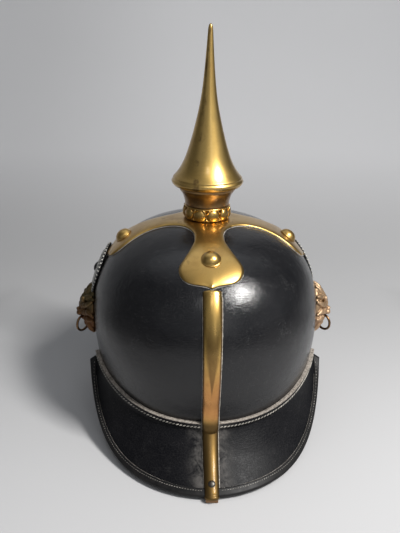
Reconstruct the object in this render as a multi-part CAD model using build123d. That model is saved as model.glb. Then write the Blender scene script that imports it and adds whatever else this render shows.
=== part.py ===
from build123d import *
import os
from math import cos, pi, radians, sin, sqrt

# Shell of moulded leather, sizes on its outer face
half_width = 93.0
half_length = 105.0
crown_level = 164.0
widest_level = 82.0
roundness = 2.5
wall_draw = 4.4
leather = 3.0
rim_rear_level = 31.0
rim_side_level = 54.0
rim_front_level = 36.0
rim_run = 112.0
skin_seam_turn = 45.0
crown_turn_shares = (0.12, 0.28, 0.45, 0.62, 0.8)
wall_level_shares = (0.25, 0.5, 0.75)
overrun = 60.0
depth_tests = 12

# Neck guard and visor, flared brims that overlap the shell's rim
brim_foot_half_width = 98.5
brim_foot_reach = 136.0
visor_foot_reach = 138.7
brim_leather = 3.0
brim_concavity = 1.3
seam_overlap = 8.0
guard_edge_level = 3.95
visor_edge_level = 2.9
guard_flat_turn = 22.0
visor_flat_turn = 26.0
corner_turn = 73.0
guard_sweep = 2.2
visor_sweep = 1.9
corner_flare_share = 0.75
half_turn_shares = (0.14, 0.29, 0.45, 0.6, 0.74, 0.86, 0.94, 1.0)
section_turn_shares = [-share for share in reversed(half_turn_shares)] + [0.0, *half_turn_shares]
seat_gap = 0.15

# Edge strips of guard and visor
strip_band = 5.0
strip_inner_band = 3.8
strip_thickness = 0.8
trim_thickness = 1.0

# Brass cross on the crown
cross_thickness = 1.4
cross_gap = 0.1
rear_arm = {"waist": 10.8, "shoulder": 22.8, "tip": 85.5}
side_arm = {"waist": 13.2, "shoulder": 19.6, "tip": 81.0}
waist_run_share = 0.50
flank_run_share = 0.655
flank_width_share = 0.33
shoulder_run_share = 0.825
cheek_run_share = 0.935
cheek_width_share = 0.72
ogee_run_share = 0.975
ogee_width_share = 0.28
ogee_tip_direction = (-1, -0.8)
cross_fillet = 25.0

# Domed studs on the arms, with washers and nuts inside
stud_distance = 66.0
stud_radius = 7.5
stud_height = 4.4
stud_flange = 0.9
stud_shank = 2.0
stud_nut_size = 6.5
stud_nut_height = 2.6
stud_washer_radius = 5.2
stud_washer_height = 1.0
hole_gap = 0.3
thread_gap = 0.12

# Neck under the spike
neck_foot_level = 165.6
neck_inner_radius = 15.0
neck_top_level = 190.8
neck_wall = 1.5
neck_waist_radius = 17.6
neck_waist_level = 178.4
neck_flare_radius = 19.1
neck_flare_level = 184.5
neck_lip_radius = 22.3
neck_plate = 2.2
socket_radius = 8.0
socket_wall = 2.2
socket_depth = 13.5
tail_radius = 11.0
tail_wall = 1.8
tail_bottom_level = 152.5
crown_nut_radius = 16.5
crown_nut_height = 4.0
crown_washer_radius = 21.0
crown_washer_height = 1.4
crown_nut_slots = 4
nut_slot_width = 3.0
nut_slot_depth = 2.2
vent_holes = 4
vent_radius = 1.1
vent_level = 187.0

# Leaf collar round the neck foot
collar_bottom_level = 165.9
collar_top_level = 176.4
collar_inner_gap = 0.3
collar_wall = 1.6
collar_bead = 1.1
egg_count = 10
egg_radius = 4.5
egg_depth = 2.2
egg_turn = 14.0

# Spike, turned hollow, with a threaded stud soldered in its foot
spike_skirt_level = 191.8
spike_under_radius = 26.3
spike_rim_radius = 28.4
spike_rim_level = 195.3
spike_bead_radius = 27.3
spike_bead_level = 198.4
spike_foot_radius = 22.1
spike_foot_level = 204.6
spike_curve_shares = ((0.747, 0.114), (0.452, 0.335), (0.251, 0.548), (0.154, 0.754), (0.0905, 0.943))
spike_tip_level = 310.0
spike_solid_radius = 2.8
spike_end_rise = (-0.12, 1)
spike_end_turn = (-1, 0.1)
spike_wall = 1.3
spike_floor = 1.6
spike_stud_length = 11.5
stud_bore_radius = 4.2
spike_stud_plate_radius = 19.0
washer_thickness = 0.6
washer_gap = 0.2
washer_radius = 20.5

# Brass spine down the rear
spine_top_width = 14.5
spine_seam_width = 12.9
spine_foot_width = 11.4
spine_height = 4.0
spine_wall = 1.1
spine_flange = 1.3
spine_top_level = 137.5
spine_gap = 0.3
spine_bend_level = 40.0
spine_level_shares = (1.0, 0.931, 0.844, 0.727, 0.596, 0.487, 0.393)
spine_bridge_level = 45.0
spine_brim_shares = (0.89, 0.7, 0.49, 0.29, 0.11, 0.0)
spine_hook_wall = 1.8
spine_hook_bevel = 0.7
spine_hook_rise = 4.0
spine_lip_return = 7.0
spine_screw_level = 10.2
spine_screw_radius = 1.5
spine_screw_head = 2.4
spine_head_rise = 0.9
spine_screw_sink = 0.3
spine_screw_over = 1.4
spine_slot_width = 0.7
spine_nut_size = 5.0
spine_nut_height = 2.0

# Lion bosses on the sides
boss_y = 2.0
boss_level = 84.0
boss_half_width = 20.0
boss_half_height = 24.5
boss_mane_depth = 7.5
boss_brow_depth = 12.5
boss_muzzle_depth = 17.0
boss_chin_depth = 6.4
boss_gap = 0.3
boss_back_radius = 126.0
boss_post_radius = 3.0
boss_nut_size = 9.0
boss_nut_height = 2.6
boss_post_over = 2.2
boss_plate_share = 0.88
boss_plate_rise = 4.5
brow_radius = 12.0
brow_up = 5.4
muzzle_radius = 8.4
muzzle_down = 4.9
chin_radius = 6.8
chin_down = 12.7
mane_lumps = 12
mane_lump_radius = 4.6

# Rings through the lions' mouths
ring_radius = 6.8
ring_wire = 1.05
ring_yaw = 37.0
ring_gap = 0.45
ring_depth = 11.6
ring_drop = 8.0
ring_end_gap = 0.6
ring_back_turn = 8.0
ring_front_turn = 95.0

# Fluted cockades above the bosses
cockade_radius = 23.6
cockade_middle_radius = 16.0
cockade_centre_radius = 7.2
cockade_rim_rise = 2.0
cockade_middle_rise = 3.2
cockade_centre_rise = 4.2
cockade_gap = 0.2
cockade_dish = 1.8
cockade_level = 116.5
cockade_angle_left = 84.0
cockade_angle_right = 74.0
rivet_head_radius = 4.2
rivet_head_rise = 1.8
rivet_shank = 1.3
rivet_burr_radius = 3.4
rivet_burr_height = 1.0

# Leather sweatband and its draw cord
band_foot_level = 58.0
band_seat_level = 64.0
band_lean_level = 76.0
band_top_level = 106.0
band_lean = 7.6
band_top_lean = 10.5
band_leather = 1.5
band_gap = 0.15
hem_radius = 2.7
cord_radius = 1.2
cord_gap = 0.3
tongue_count = 12
tongue_slot_width = 7.0
tongue_slot_depth = 26.0


def wall_share(level):
    """Share of the widest outline that the shell has at a level."""
    if level >= widest_level:
        rise = (level - widest_level) / (crown_level - widest_level)
        return (1 - rise**roundness) ** (1 / roundness)
    drop = (widest_level - level) / (widest_level - rim_rear_level)
    return 1 - wall_draw / half_width * (1 - cos(pi * min(drop, 1))) / 2


def wall_radius(turn, level):
    """Distance of the shell's outer face from the axis, turn counted from front or rear."""
    share = wall_share(level)
    across = sin(radians(turn)) / (half_width * share)
    along = cos(radians(turn)) / (half_length * share)
    return 1 / sqrt(across**2 + along**2)


def stretched(solid):
    """Round solid drawn out to the oval plan of the helmet."""
    return scale(solid, by=(1, half_length / half_width, 1))


def round_place(place):
    """Plane of an oval helmet moved back to the round form before its stretch."""
    squeeze = half_width / half_length
    origin = Vector(place.origin.X, place.origin.Y * squeeze, place.origin.Z)
    normal = Vector(place.z_dir.X, place.z_dir.Y * squeeze, place.z_dir.Z)
    return Plane(origin, z_dir=normal)


def dome_curve(grow, start_radius):
    """Profile of the round shell's outer face moved outward by grow."""
    radius = half_width + grow
    rise = crown_level + grow - widest_level
    power = 2 / roundness
    start_rise = rise * (1 - (start_radius / radius) ** roundness) ** (1 / roundness)
    start = (start_radius, widest_level + start_rise)
    crown_points = [
        (radius * sin(share * pi / 2) ** power, widest_level + rise * cos(share * pi / 2) ** power)
        for share in crown_turn_shares
    ]
    wall_levels = [widest_level - share * (widest_level - rim_rear_level) for share in wall_level_shares]
    wall_points = [(wall_share(level) * half_width + grow, level) for level in wall_levels]
    foot = (wall_share(rim_rear_level) * half_width + grow, rim_rear_level - leather)
    return start, foot, Spline(start, *crown_points, (radius, widest_level), *wall_points, foot)


def dome_skin(low, high, start_radius):
    """Skin of the round shell between two offsets from its outer face."""
    low_start, low_foot, low_curve = dome_curve(low, start_radius)
    high_start, high_foot, high_curve = dome_curve(high, start_radius)
    ends = [Line(low_start, high_start), Line(low_foot, high_foot)]
    skin = revolve(make_face(Plane.XZ * (Curve() + [low_curve, high_curve] + ends)), Axis.Z)
    return Rot(0, 0, skin_seam_turn) * skin


def dome_point(x, y):
    """Point of the shell's outer face over a plan position, and its normal."""
    plan = sqrt((x / half_width) ** 2 + (y / half_length) ** 2)
    rise = crown_level - widest_level
    level_share = (1 - plan**roundness) ** (1 / roundness)
    side_pull = plan ** (roundness - 2)
    normal = Vector(
        side_pull * x / half_width**2,
        side_pull * y / half_length**2,
        level_share ** (roundness - 1) / rise,
    )
    return Vector(x, y, widest_level + rise * level_share), normal.normalized()


def wall_point(angle, level, side):
    """Point of the shell's outer face at a plan angle from the front."""
    share = wall_share(level)
    x = side * half_width * share * sin(radians(angle))
    y = half_length * share * cos(radians(angle))
    return dome_point(x, y)


def inside_shell(point):
    """True where a point lies in the shell's hollow."""
    inner = half_width - leather
    plan = sqrt((point.X / inner) ** 2 + (point.Y * half_width / half_length / inner) ** 2)
    if point.Z < widest_level:
        return plan < (wall_share(point.Z) * half_width - leather) / inner
    rise = (point.Z - widest_level) / (crown_level - leather - widest_level)
    return plan**roundness + rise**roundness < 1


def inner_depth(place, reach):
    """Depth below a seat at which a flat disc of that reach clears the shell's inner face."""
    deepest = 0
    for index in range(depth_tests):
        turn = 2 * pi * index / depth_tests
        rim = place.origin + (place.x_dir * cos(turn) + place.y_dir * sin(turn)) * reach
        outside, inside = 0, overrun / 2
        for _ in range(2 * depth_tests):
            middle = (outside + inside) / 2
            if inside_shell(rim - place.z_dir * middle):
                inside = middle
            else:
                outside = middle
        deepest = max(deepest, inside)
    return deepest


def rim_level(y):
    """Level of the shell's rim over a lengthwise position."""
    end_level = rim_rear_level if y < 0 else rim_front_level
    run = 1 - min(abs(y) / rim_run, 1)
    return end_level + (rim_side_level - end_level) * run**2 * (3 - 2 * run)


def rim_cutter():
    """Room below the rim of the round shell."""
    squeeze = half_width / half_length
    far = half_length + overrun
    rear_run = (-rim_run * squeeze, rim_rear_level)
    front_run = (rim_run * squeeze, rim_front_level)
    rim_points = [(share * rim_run * squeeze, rim_level(share * rim_run)) for share in (-0.5, 0, 0.5)]
    rim = Spline(rear_run, *rim_points, front_run, tangents=[(1, 0), (1, 0)])
    frame = Polyline(
        front_run, (far, rim_front_level), (far, -overrun), (-far, -overrun), (-far, rim_rear_level), rear_run
    )
    return extrude(Plane.YZ * make_face(Curve() + [rim, frame]), amount=half_width + overrun, both=True)


def shell_solid(studs, cockades):
    shell = dome_skin(-leather, 0, tail_radius + hole_gap) - rim_cutter()
    cutters = [round_place(place) * Cylinder(stud_shank + hole_gap, overrun / 2) for place in studs]
    for side in (-1, 1):
        cutters.append(round_place(boss_place(side)) * Cylinder(boss_post_radius + hole_gap, overrun / 2))
        cutters.append(round_place(cockades[side]) * Cylinder(rivet_shank + hole_gap, overrun / 2))
    return stretched(shell - cutters)


def edge_level(turn, base_level, flat_turn, sweep):
    """Level of a brim's lower edge, flat in the middle and swept up to its corners."""
    share = max(0, (abs(turn) - flat_turn) / (corner_turn - flat_turn)) ** sweep
    y = wall_radius(corner_turn, rim_side_level) * cos(radians(corner_turn))
    return base_level + (rim_level(y) - base_level) * share, share


def brim_profile(end, turn, base_level, flat_turn, sweep):
    """Outer profile of a brim at one turn, from its top to its foot, as radius and level."""
    wall_y = end * wall_radius(turn, rim_side_level) * cos(radians(turn))
    rim = rim_level(wall_y)
    foot_level, share = edge_level(turn, base_level, flat_turn, sweep)
    stand_off = seat_gap + brim_leather
    top_level = rim + seam_overlap
    bend_level = max(rim, foot_level + brim_leather)
    top = (wall_radius(turn, top_level) + stand_off, top_level)
    seam_level = (top_level + bend_level) / 2
    seam = (wall_radius(turn, seam_level) + stand_off, seam_level)
    bend = (wall_radius(turn, bend_level) + stand_off, bend_level)
    across = sin(radians(turn)) / brim_foot_half_width
    along = cos(radians(turn)) / (brim_foot_reach if end < 0 else visor_foot_reach)
    full_foot = 1 / sqrt(across**2 + along**2)
    flare = (full_foot - bend[0]) * (1 - (1 - corner_flare_share) * share)
    foot = (bend[0] + flare, foot_level)
    middle = (bend[0] + flare * 0.5**brim_concavity, (bend_level + foot_level) / 2)
    return top, seam, bend, middle, foot


def brim_curves(profile):
    """Outer and inner curve of a brim's section, both from top to foot."""
    outer = Spline(*profile)
    inner_points = []
    for radius, level in profile:
        point = Vector(radius, level)
        inner_points.append(point + inward_step(outer, point) * brim_leather)
    return outer, Spline(*inner_points)


def inward_step(curve, point):
    """Unit step square to a section's curve at a point, towards the helmet's axis."""
    slope = curve % curve.param_at_point(point)
    return Vector(slope.Y, -slope.X)


def brim_section(end, turn, base_level, flat_turn, sweep):
    """Closed section of a brim in the upright plane at one turn."""
    outer, inner = brim_curves(brim_profile(end, turn, base_level, flat_turn, sweep))
    face = make_face(Curve() + [outer, Line(outer @ 1, inner @ 1), inner, Line(inner @ 0, outer @ 0)])
    return upright_plane(end, turn) * face


def upright_plane(end, turn):
    """Upright plane through the helmet's axis, x outward and y up."""
    outward = Vector(sin(radians(turn)), end * cos(radians(turn)), 0)
    return Plane((0, 0, 0), x_dir=outward, z_dir=outward.cross(Vector(0, 0, 1)))


def brim_solid(end, base_level, flat_turn, sweep):
    turns = [share * corner_turn for share in section_turn_shares]
    return loft([brim_section(end, turn, base_level, flat_turn, sweep) for turn in turns])


def leg_points(curve, band, stand_off, away):
    """Three points beside a brim's face, from its foot up to the strip's height."""
    points = []
    for share in (0, 0.5, 1):
        along = curve.position_at(curve.length - band * share, position_mode=PositionMode.LENGTH)
        points.append(along + inward_step(curve, along) * (stand_off * away))
    return points


def strip_section(end, turn, base_level, flat_turn, sweep, thickness):
    """Folded section of an edge strip round a brim's foot."""
    outer, inner = brim_curves(brim_profile(end, turn, base_level, flat_turn, sweep))
    near = 2 * seat_gap
    far = near + thickness
    outer_near = leg_points(outer, strip_band, near, -1)
    outer_far = leg_points(outer, strip_band, far, -1)
    inner_near = leg_points(inner, strip_inner_band, near, 1)
    inner_far = leg_points(inner, strip_inner_band, far, 1)
    foot_step = (outer % 1).normalized()
    outer_low = outer_near[0] + foot_step * near
    inner_low = inner_near[0] + foot_step * near
    outer_base = outer_far[0] + foot_step * far
    inner_base = inner_far[0] + foot_step * far
    edges = [
        ThreePointArc(outer_near[2], outer_near[1], outer_near[0]),
        Line(outer_near[0], outer_low),
        Line(outer_low, inner_low),
        Line(inner_low, inner_near[0]),
        ThreePointArc(inner_near[0], inner_near[1], inner_near[2]),
        Line(inner_near[2], inner_far[2]),
        ThreePointArc(inner_far[2], inner_far[1], inner_far[0]),
        Line(inner_far[0], inner_base),
        Line(inner_base, outer_base),
        Line(outer_base, outer_far[0]),
        ThreePointArc(outer_far[0], outer_far[1], outer_far[2]),
        Line(outer_far[2], outer_near[2]),
    ]
    return upright_plane(end, turn) * make_face(Curve() + edges)


def strip_foot(turn, base_level, flat_turn, sweep, thickness):
    """Lowest level and outermost reach of the guard's folded strip at one turn."""
    corners = strip_section(-1, turn, base_level, flat_turn, sweep, thickness).vertices()
    lowest = min(corner.Z for corner in corners)
    furthest = max(sqrt(corner.X**2 + corner.Y**2) for corner in corners)
    return lowest, furthest


def strip_solid(end, base_level, flat_turn, sweep, thickness):
    turns = [share * corner_turn for share in section_turn_shares]
    return loft([strip_section(end, turn, base_level, flat_turn, sweep, thickness) for turn in turns])


def arm_outline(arm, turn):
    """One spade-shaped arm of the cross, pointing to the rear before its turn."""
    tip = arm["tip"]
    waist = (arm["waist"], -tip * waist_run_share)
    spread = arm["shoulder"] - arm["waist"]
    flank = (arm["waist"] + spread * flank_width_share, -tip * flank_run_share)
    shoulder = (arm["shoulder"], -tip * shoulder_run_share)
    cheek = (arm["shoulder"] * cheek_width_share, -tip * cheek_run_share)
    ogee = (arm["shoulder"] * ogee_width_share, -tip * ogee_run_share)
    flank_curve = Spline(waist, flank, shoulder, tangents=[(0, -1), (0, -1)])
    cheek_curve = Spline(shoulder, cheek, ogee, (0, -tip), tangents=[(0, -1), ogee_tip_direction])
    root = Polyline((0, 0), (arm["waist"], 0), waist)
    half = make_face(Curve() + [root, flank_curve, cheek_curve, Line((0, -tip), (0, 0))])
    return Rot(0, 0, turn) * (half + mirror(half, Plane.YZ))


def cross_outline():
    outline = Sketch()
    for turn, arm in ((0, rear_arm), (90, side_arm), (180, rear_arm), (270, side_arm)):
        outline += arm_outline(arm, turn)
    inner_x = rear_arm["waist"]
    inner_y = side_arm["waist"]
    corners = [
        corner
        for corner in outline.vertices()
        if abs(abs(corner.X) - inner_x) < hole_gap and abs(abs(corner.Y) - inner_y) < hole_gap
    ]
    return fillet(corners, cross_fillet)


def stud_places():
    """Seats of the four studs, each a plane whose z runs out of the shell."""
    places = []
    for x, y in ((0, -stud_distance), (stud_distance, 0), (0, stud_distance), (-stud_distance, 0)):
        point, normal = dome_point(x, y)
        places.append(Plane(point, z_dir=normal))
    return places


def cross_solid(places):
    squeeze = half_width / half_length
    outline = scale(cross_outline(), by=(1, squeeze, 1))
    column = extrude(outline, amount=crown_level + overrun)
    plate = dome_skin(cross_gap, cross_gap + cross_thickness, tail_radius + hole_gap) & column
    holes = [round_place(place) * Cylinder(stud_shank + hole_gap, overrun / 2) for place in places]
    return stretched(plate - holes)


def domed(radius, rise):
    """Round head with a flat underside at the origin."""
    ball_radius = (radius**2 + rise**2) / (2 * rise)
    ball = Pos(0, 0, rise - ball_radius) * Sphere(ball_radius)
    return ball & Cylinder(radius, 2 * rise, align=(Align.CENTER, Align.CENTER, Align.MIN))


def stud_solid(place):
    head_base = cross_gap + cross_thickness + seat_gap
    dome = Pos(0, 0, head_base + stud_flange) * domed(stud_radius, stud_height)
    flange = Pos(0, 0, head_base) * Cylinder(
        stud_radius, stud_flange, align=(Align.CENTER, Align.CENTER, Align.MIN)
    )
    shank_bottom = stud_seat(place) - stud_washer_height - stud_nut_height - stud_flange
    shank = Pos(0, 0, shank_bottom) * Cylinder(
        stud_shank, head_base - shank_bottom + stud_flange, align=(Align.CENTER, Align.CENTER, Align.MIN)
    )
    return place * (dome + flange + shank)


def stud_seat(place):
    """Level of a stud washer's top below the stud's seat."""
    return -inner_depth(place, stud_washer_radius) - seat_gap


def stud_washer(place):
    top = stud_seat(place)
    ring = Cylinder(stud_washer_radius, stud_washer_height, align=(Align.CENTER, Align.CENTER, Align.MAX))
    hole = Cylinder(stud_shank + hole_gap, overrun)
    return place * (Pos(0, 0, top) * (ring - hole))


def stud_nut(place):
    top = stud_seat(place) - stud_washer_height
    hexagon = RegularPolygon(stud_nut_size / 2, 6, major_radius=False)
    block = extrude(hexagon, amount=-stud_nut_height)
    hole = Cylinder(stud_shank + thread_gap, overrun)
    return place * (Pos(0, 0, top) * (block - hole))


def turned(points):
    """Solid turned about Z from radius and level points, closed on the axis."""
    outline = make_face(Plane.XZ * Polyline(*points, close=True))
    return revolve(outline, Axis.Z)


def ring_of(outer, inner, bottom, top):
    """Plain ring between two levels."""
    return turned([(inner, bottom), (outer, bottom), (outer, top), (inner, top)])


def neck_skin(inset):
    """Solid of the neck's outer form, moved inward by inset."""
    foot = (neck_inner_radius - inset, neck_foot_level + inset)
    step_low = (neck_inner_radius - inset, collar_top_level + seat_gap)
    step_out = (neck_waist_radius - inset, collar_top_level + seat_gap + inset)
    waist = (neck_waist_radius - inset, neck_waist_level)
    flare = (neck_flare_radius - inset, neck_flare_level)
    lip_low = (neck_lip_radius - inset, neck_top_level - 2 * neck_wall)
    lip_top = (neck_lip_radius - inset, neck_top_level - inset)
    sides = Polyline((0, foot[1]), foot, step_low, step_out, waist)
    flare_curve = Spline(waist, flare, lip_low)
    top = Polyline(lip_low, lip_top, (0, lip_top[1]), (0, foot[1]))
    return revolve(make_face(Plane.XZ * (Curve() + [sides, flare_curve, top])), Axis.Z)


def neck_solid():
    neck = neck_skin(0) - neck_skin(neck_wall)
    neck += ring_of(neck_lip_radius - neck_wall / 2, socket_radius, neck_top_level - neck_plate, neck_top_level)
    socket_bottom = neck_top_level - socket_depth
    neck += ring_of(socket_radius + socket_wall, socket_radius, socket_bottom, neck_top_level)
    neck -= Pos(0, 0, neck_top_level) * Cylinder(socket_radius, socket_depth * 2)
    foot_top = neck_foot_level + neck_wall
    neck += ring_of(tail_radius, tail_radius - tail_wall, tail_bottom_level, foot_top)
    neck -= Pos(0, 0, neck_foot_level) * Cylinder(tail_radius - tail_wall, 2 * neck_wall + hole_gap)
    for index in range(vent_holes):
        turn = Rot(0, 0, 360 / vent_holes * (index + 0.5))
        neck -= Pos(0, 0, vent_level) * turn * Rot(0, 90, 0) * Cylinder(
            vent_radius, overrun, align=(Align.CENTER, Align.CENTER, Align.MIN)
        )
    return neck


def crown_seat():
    """Level of the crown washer's top."""
    return crown_level - inner_depth(Plane((0, 0, crown_level)), crown_washer_radius) - seat_gap


def crown_washer_solid():
    top = crown_seat()
    return ring_of(crown_washer_radius, tail_radius + hole_gap, top - crown_washer_height, top)


def crown_nut_solid():
    top = crown_seat() - crown_washer_height
    nut = ring_of(crown_nut_radius, tail_radius + thread_gap, top - crown_nut_height, top)
    slot = Box(nut_slot_depth * 2, nut_slot_width, crown_nut_height * 3)
    for index in range(crown_nut_slots):
        turn = Rot(0, 0, 360 / crown_nut_slots * index)
        nut -= turn * (Pos(crown_nut_radius, 0, top) * slot)
    return nut


def collar_solid():
    inner = neck_inner_radius + collar_inner_gap
    outer = inner + collar_wall
    middle = (collar_bottom_level + collar_top_level) / 2
    collar = ring_of(outer, inner, collar_bottom_level, collar_top_level)
    collar += ring_of(outer + collar_bead, inner, collar_top_level - 2 * collar_bead, collar_top_level)
    collar += ring_of(outer + collar_bead / 2, inner, collar_bottom_level, collar_bottom_level + collar_bead)
    egg = Pos(0, -(outer + egg_depth - egg_radius), middle - collar_bead / 2) * Sphere(egg_radius)
    collar += [Rot(0, 0, egg_turn + 360 / egg_count * index) * egg for index in range(egg_count)]
    band = ring_of(outer + egg_depth + collar_bead, inner, collar_bottom_level, collar_top_level)
    return collar & band


def spike_points(inset):
    """Radius and level of the spike's curve from its foot up, moved inward by inset."""
    rise = spike_tip_level - spike_foot_level
    points = []
    for radius_share, level_share in spike_curve_shares:
        radius = spike_foot_radius * radius_share
        if not inset or radius > spike_solid_radius:
            points.append((radius - inset, spike_foot_level + rise * level_share))
    return points


def spike_skin(inset):
    """Outer form of the spike, or its hollow where inset is a wall's thickness."""
    under = spike_skirt_level + inset
    rim_under = (spike_under_radius - inset, under)
    rim = (spike_rim_radius - inset, spike_rim_level)
    bead = (spike_bead_radius - inset, spike_bead_level)
    foot = (spike_foot_radius - inset, spike_foot_level)
    base = Polyline((0, under), rim_under, rim, bead, foot)
    upper = spike_points(inset)
    body = Spline(foot, *upper)
    tip = (0, upper[-1][1] if inset else spike_tip_level)
    if inset:
        end = Line(upper[-1], tip)
    else:
        end = Spline(upper[-1], tip, tangents=[spike_end_rise, spike_end_turn])
    close = Line(tip, (0, under))
    return revolve(make_face(Plane.XZ * (Curve() + [base, body, end, close])), Axis.Z)


def spike_solid():
    spike = spike_skin(0) - spike_skin(spike_wall)
    plate_room = spike_stud_plate_radius + hole_gap
    return spike - Pos(0, 0, spike_skirt_level) * Cylinder(plate_room, 2 * spike_wall + hole_gap)


def spike_stud_solid():
    plate_top = spike_skirt_level + spike_floor
    plate = ring_of(spike_stud_plate_radius, stud_bore_radius, spike_skirt_level, plate_top)
    bottom = spike_skirt_level - spike_stud_length
    stud = ring_of(socket_radius - hole_gap, stud_bore_radius, bottom, plate_top)
    rim = ring_of(spike_stud_plate_radius + spike_floor, stud_bore_radius, plate_top, plate_top + spike_floor)
    return plate + stud + rim


def washer_solid():
    bottom = neck_top_level + washer_gap
    return ring_of(washer_radius, socket_radius, bottom, bottom + washer_thickness)


def spine_width(level):
    """Width of the spine, even taper to the seam and again to its foot."""
    if level >= spine_bend_level:
        along = (level - spine_bend_level) / (spine_top_level - spine_bend_level)
        return spine_seam_width + (spine_top_width - spine_seam_width) * along
    return spine_foot_width + (spine_seam_width - spine_foot_width) * level / spine_bend_level


def spine_section(point, normal, stand_off):
    """Arched channel section across the spine, its flanges on the leather."""
    half = spine_width(point.Z) / 2
    arch_half = half - spine_flange
    inner_half = arch_half - spine_wall
    arch = ThreePointArc((-arch_half, spine_wall), (0, spine_height), (arch_half, spine_wall))
    right = Polyline((arch_half, spine_wall), (half, spine_wall), (half, 0), (inner_half, 0))
    hollow = ThreePointArc((inner_half, 0), (0, spine_height - spine_wall), (-inner_half, 0))
    left = Polyline((-inner_half, 0), (-half, 0), (-half, spine_wall), (-arch_half, spine_wall))
    along = Vector(1, 0, 0).cross(normal)
    seat = Plane(point + normal * stand_off, x_dir=(1, 0, 0), z_dir=along)
    return seat * make_face(Curve() + [arch, right, hollow, left])


def guard_face(level):
    """Point and outward step of the guard's outer face on the rear centre line."""
    outer, inner = brim_curves(brim_profile(-1, 0, guard_edge_level, guard_flat_turn, guard_sweep))
    above, below = 0, 1
    for _ in range(2 * depth_tests):
        middle = (above + below) / 2
        if (outer @ middle).Y > level:
            above = middle
        else:
            below = middle
    point = outer @ above
    inward = inward_step(outer, point)
    return Vector(0, -point.X, point.Y), Vector(0, inward.X, -inward.Y)


def shell_face(level):
    """Point and normal of the shell's outer face on the rear centre line."""
    reach = half_length * wall_share(level)
    if level > widest_level:
        point, normal = dome_point(0, -reach)
        return point, normal
    slope = half_length * (wall_share(level + leather) - wall_share(level - leather)) / (2 * leather)
    return Vector(0, -reach, level), Vector(0, -1, -slope).normalized()


def spine_solid(place):
    levels = [spine_top_level * share for share in spine_level_shares]
    sections = [spine_section(*shell_face(level), spine_gap) for level in levels]
    bridge_point, bridge_normal = shell_face(spine_bridge_level)
    sections.append(spine_section(bridge_point, bridge_normal, brim_leather / 2 + spine_gap))
    for share in spine_brim_shares:
        level = guard_edge_level + (spine_bend_level - guard_edge_level) * share
        point, normal = guard_face(level)
        over_strip = strip_thickness + seat_gap if level < guard_edge_level + strip_band else 0
        sections.append(spine_section(point, normal, spine_gap + over_strip))
    spine = loft(sections)
    strip_low, strip_reach = strip_foot(0, guard_edge_level, guard_flat_turn, guard_sweep, strip_thickness)
    strip_reach += seat_gap
    lip_top = strip_low - seat_gap
    lip_back = -(brim_foot_reach - spine_lip_return)
    lip_front = -(strip_reach + spine_hook_wall)
    rise = lip_top + spine_hook_rise
    lip_outline = Polyline(
        (lip_front, lip_top),
        (lip_front + spine_hook_bevel, 0),
        (lip_back, 0),
        (lip_back, lip_top),
        (-strip_reach, lip_top),
        (-strip_reach, rise),
        (lip_front + spine_hook_bevel, rise),
        close=True,
    )
    lip_half = spine_foot_width / 2 - spine_flange
    spine += extrude(Plane.YZ * make_face(lip_outline), amount=lip_half, both=True)
    spine -= place * Cylinder(spine_screw_radius + hole_gap, overrun / 2)
    seat = place * Pos(0, 0, screw_head_level() - seat_gap)
    spine -= seat * Cylinder(
        spine_screw_head + seat_gap, overrun / 2, align=(Align.CENTER, Align.CENTER, Align.MIN)
    )
    return spine


def spine_screw_place():
    """Seat of the spine's foot screw on the guard's outer face."""
    point, normal = guard_face(spine_screw_level)
    return Plane(point, x_dir=(1, 0, 0), z_dir=normal)


def screw_head_level():
    """Level of the underside of the screw's head over the guard's face."""
    return spine_gap + spine_height - spine_screw_sink


def spine_nut_seat(place):
    """Level of the spine nut's top, below the guard and the strip folded round its foot."""
    outer, inner = brim_curves(brim_profile(-1, 0, guard_edge_level, guard_flat_turn, guard_sweep))
    tests = 4 * depth_tests
    deepest = 0
    for index in range(tests):
        share = index / tests
        point = Vector(0, -(inner @ share).X, (inner @ share).Y)
        depth = (place.origin - point).dot(place.z_dir)
        run = sqrt(max((place.origin - point).length ** 2 - depth**2, 0))
        if (1 - share) * inner.length < strip_inner_band + seat_gap:
            depth += 2 * seat_gap + strip_thickness
        if run < spine_nut_size / sqrt(3):
            deepest = max(deepest, depth)
    return -deepest - seat_gap


def spine_screw_solid(place):
    head_level = screw_head_level()
    bottom = spine_nut_seat(place) - spine_nut_height - spine_screw_over
    shank = Pos(0, 0, bottom) * Cylinder(
        spine_screw_radius, head_level - bottom, align=(Align.CENTER, Align.CENTER, Align.MIN)
    )
    head = Pos(0, 0, head_level) * domed(spine_screw_head, spine_head_rise)
    slot = Pos(0, 0, head_level + spine_head_rise) * Box(overrun, spine_slot_width, spine_slot_width)
    return place * (shank + (head - slot))


def spine_nut_solid(place):
    top = spine_nut_seat(place)
    hexagon = RegularPolygon(spine_nut_size / 2, 6, major_radius=False)
    nut = extrude(hexagon, amount=-spine_nut_height) - Cylinder(spine_screw_radius + thread_gap, overrun)
    return place * (Pos(0, 0, top) * nut)


def boss_place(side):
    """Seat of a lion boss, x to front or rear, y up, z out of the shell."""
    x_out = side * half_width * sqrt(1 - (boss_y / half_length) ** 2)
    return Plane((x_out, boss_y, boss_level), x_dir=(0, side, 0), z_dir=(side, 0, 0))


def ring_axis(side):
    """Axis of a ring's swing, through the wire where it runs in the mouth."""
    centre = Vector(side * (half_width + ring_depth), boss_y, boss_level - ring_drop)
    direction = Vector(side * sin(radians(ring_yaw)), -cos(radians(ring_yaw)), 0)
    return centre, direction


def lift_sign(side):
    """Sign of the turn about the ring's axis that lifts it outward."""
    centre, direction = ring_axis(side)
    lifted = direction.cross(Vector(0, 0, -1))
    return 1 if lifted.X * side > 0 else -1


def ring_plane(side):
    """Plane of a hanging ring, its origin at the ring's centre."""
    centre, direction = ring_axis(side)
    return Plane(
        centre - Vector(0, 0, ring_radius), x_dir=direction, z_dir=direction.cross(Vector(0, 0, 1))
    )


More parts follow.
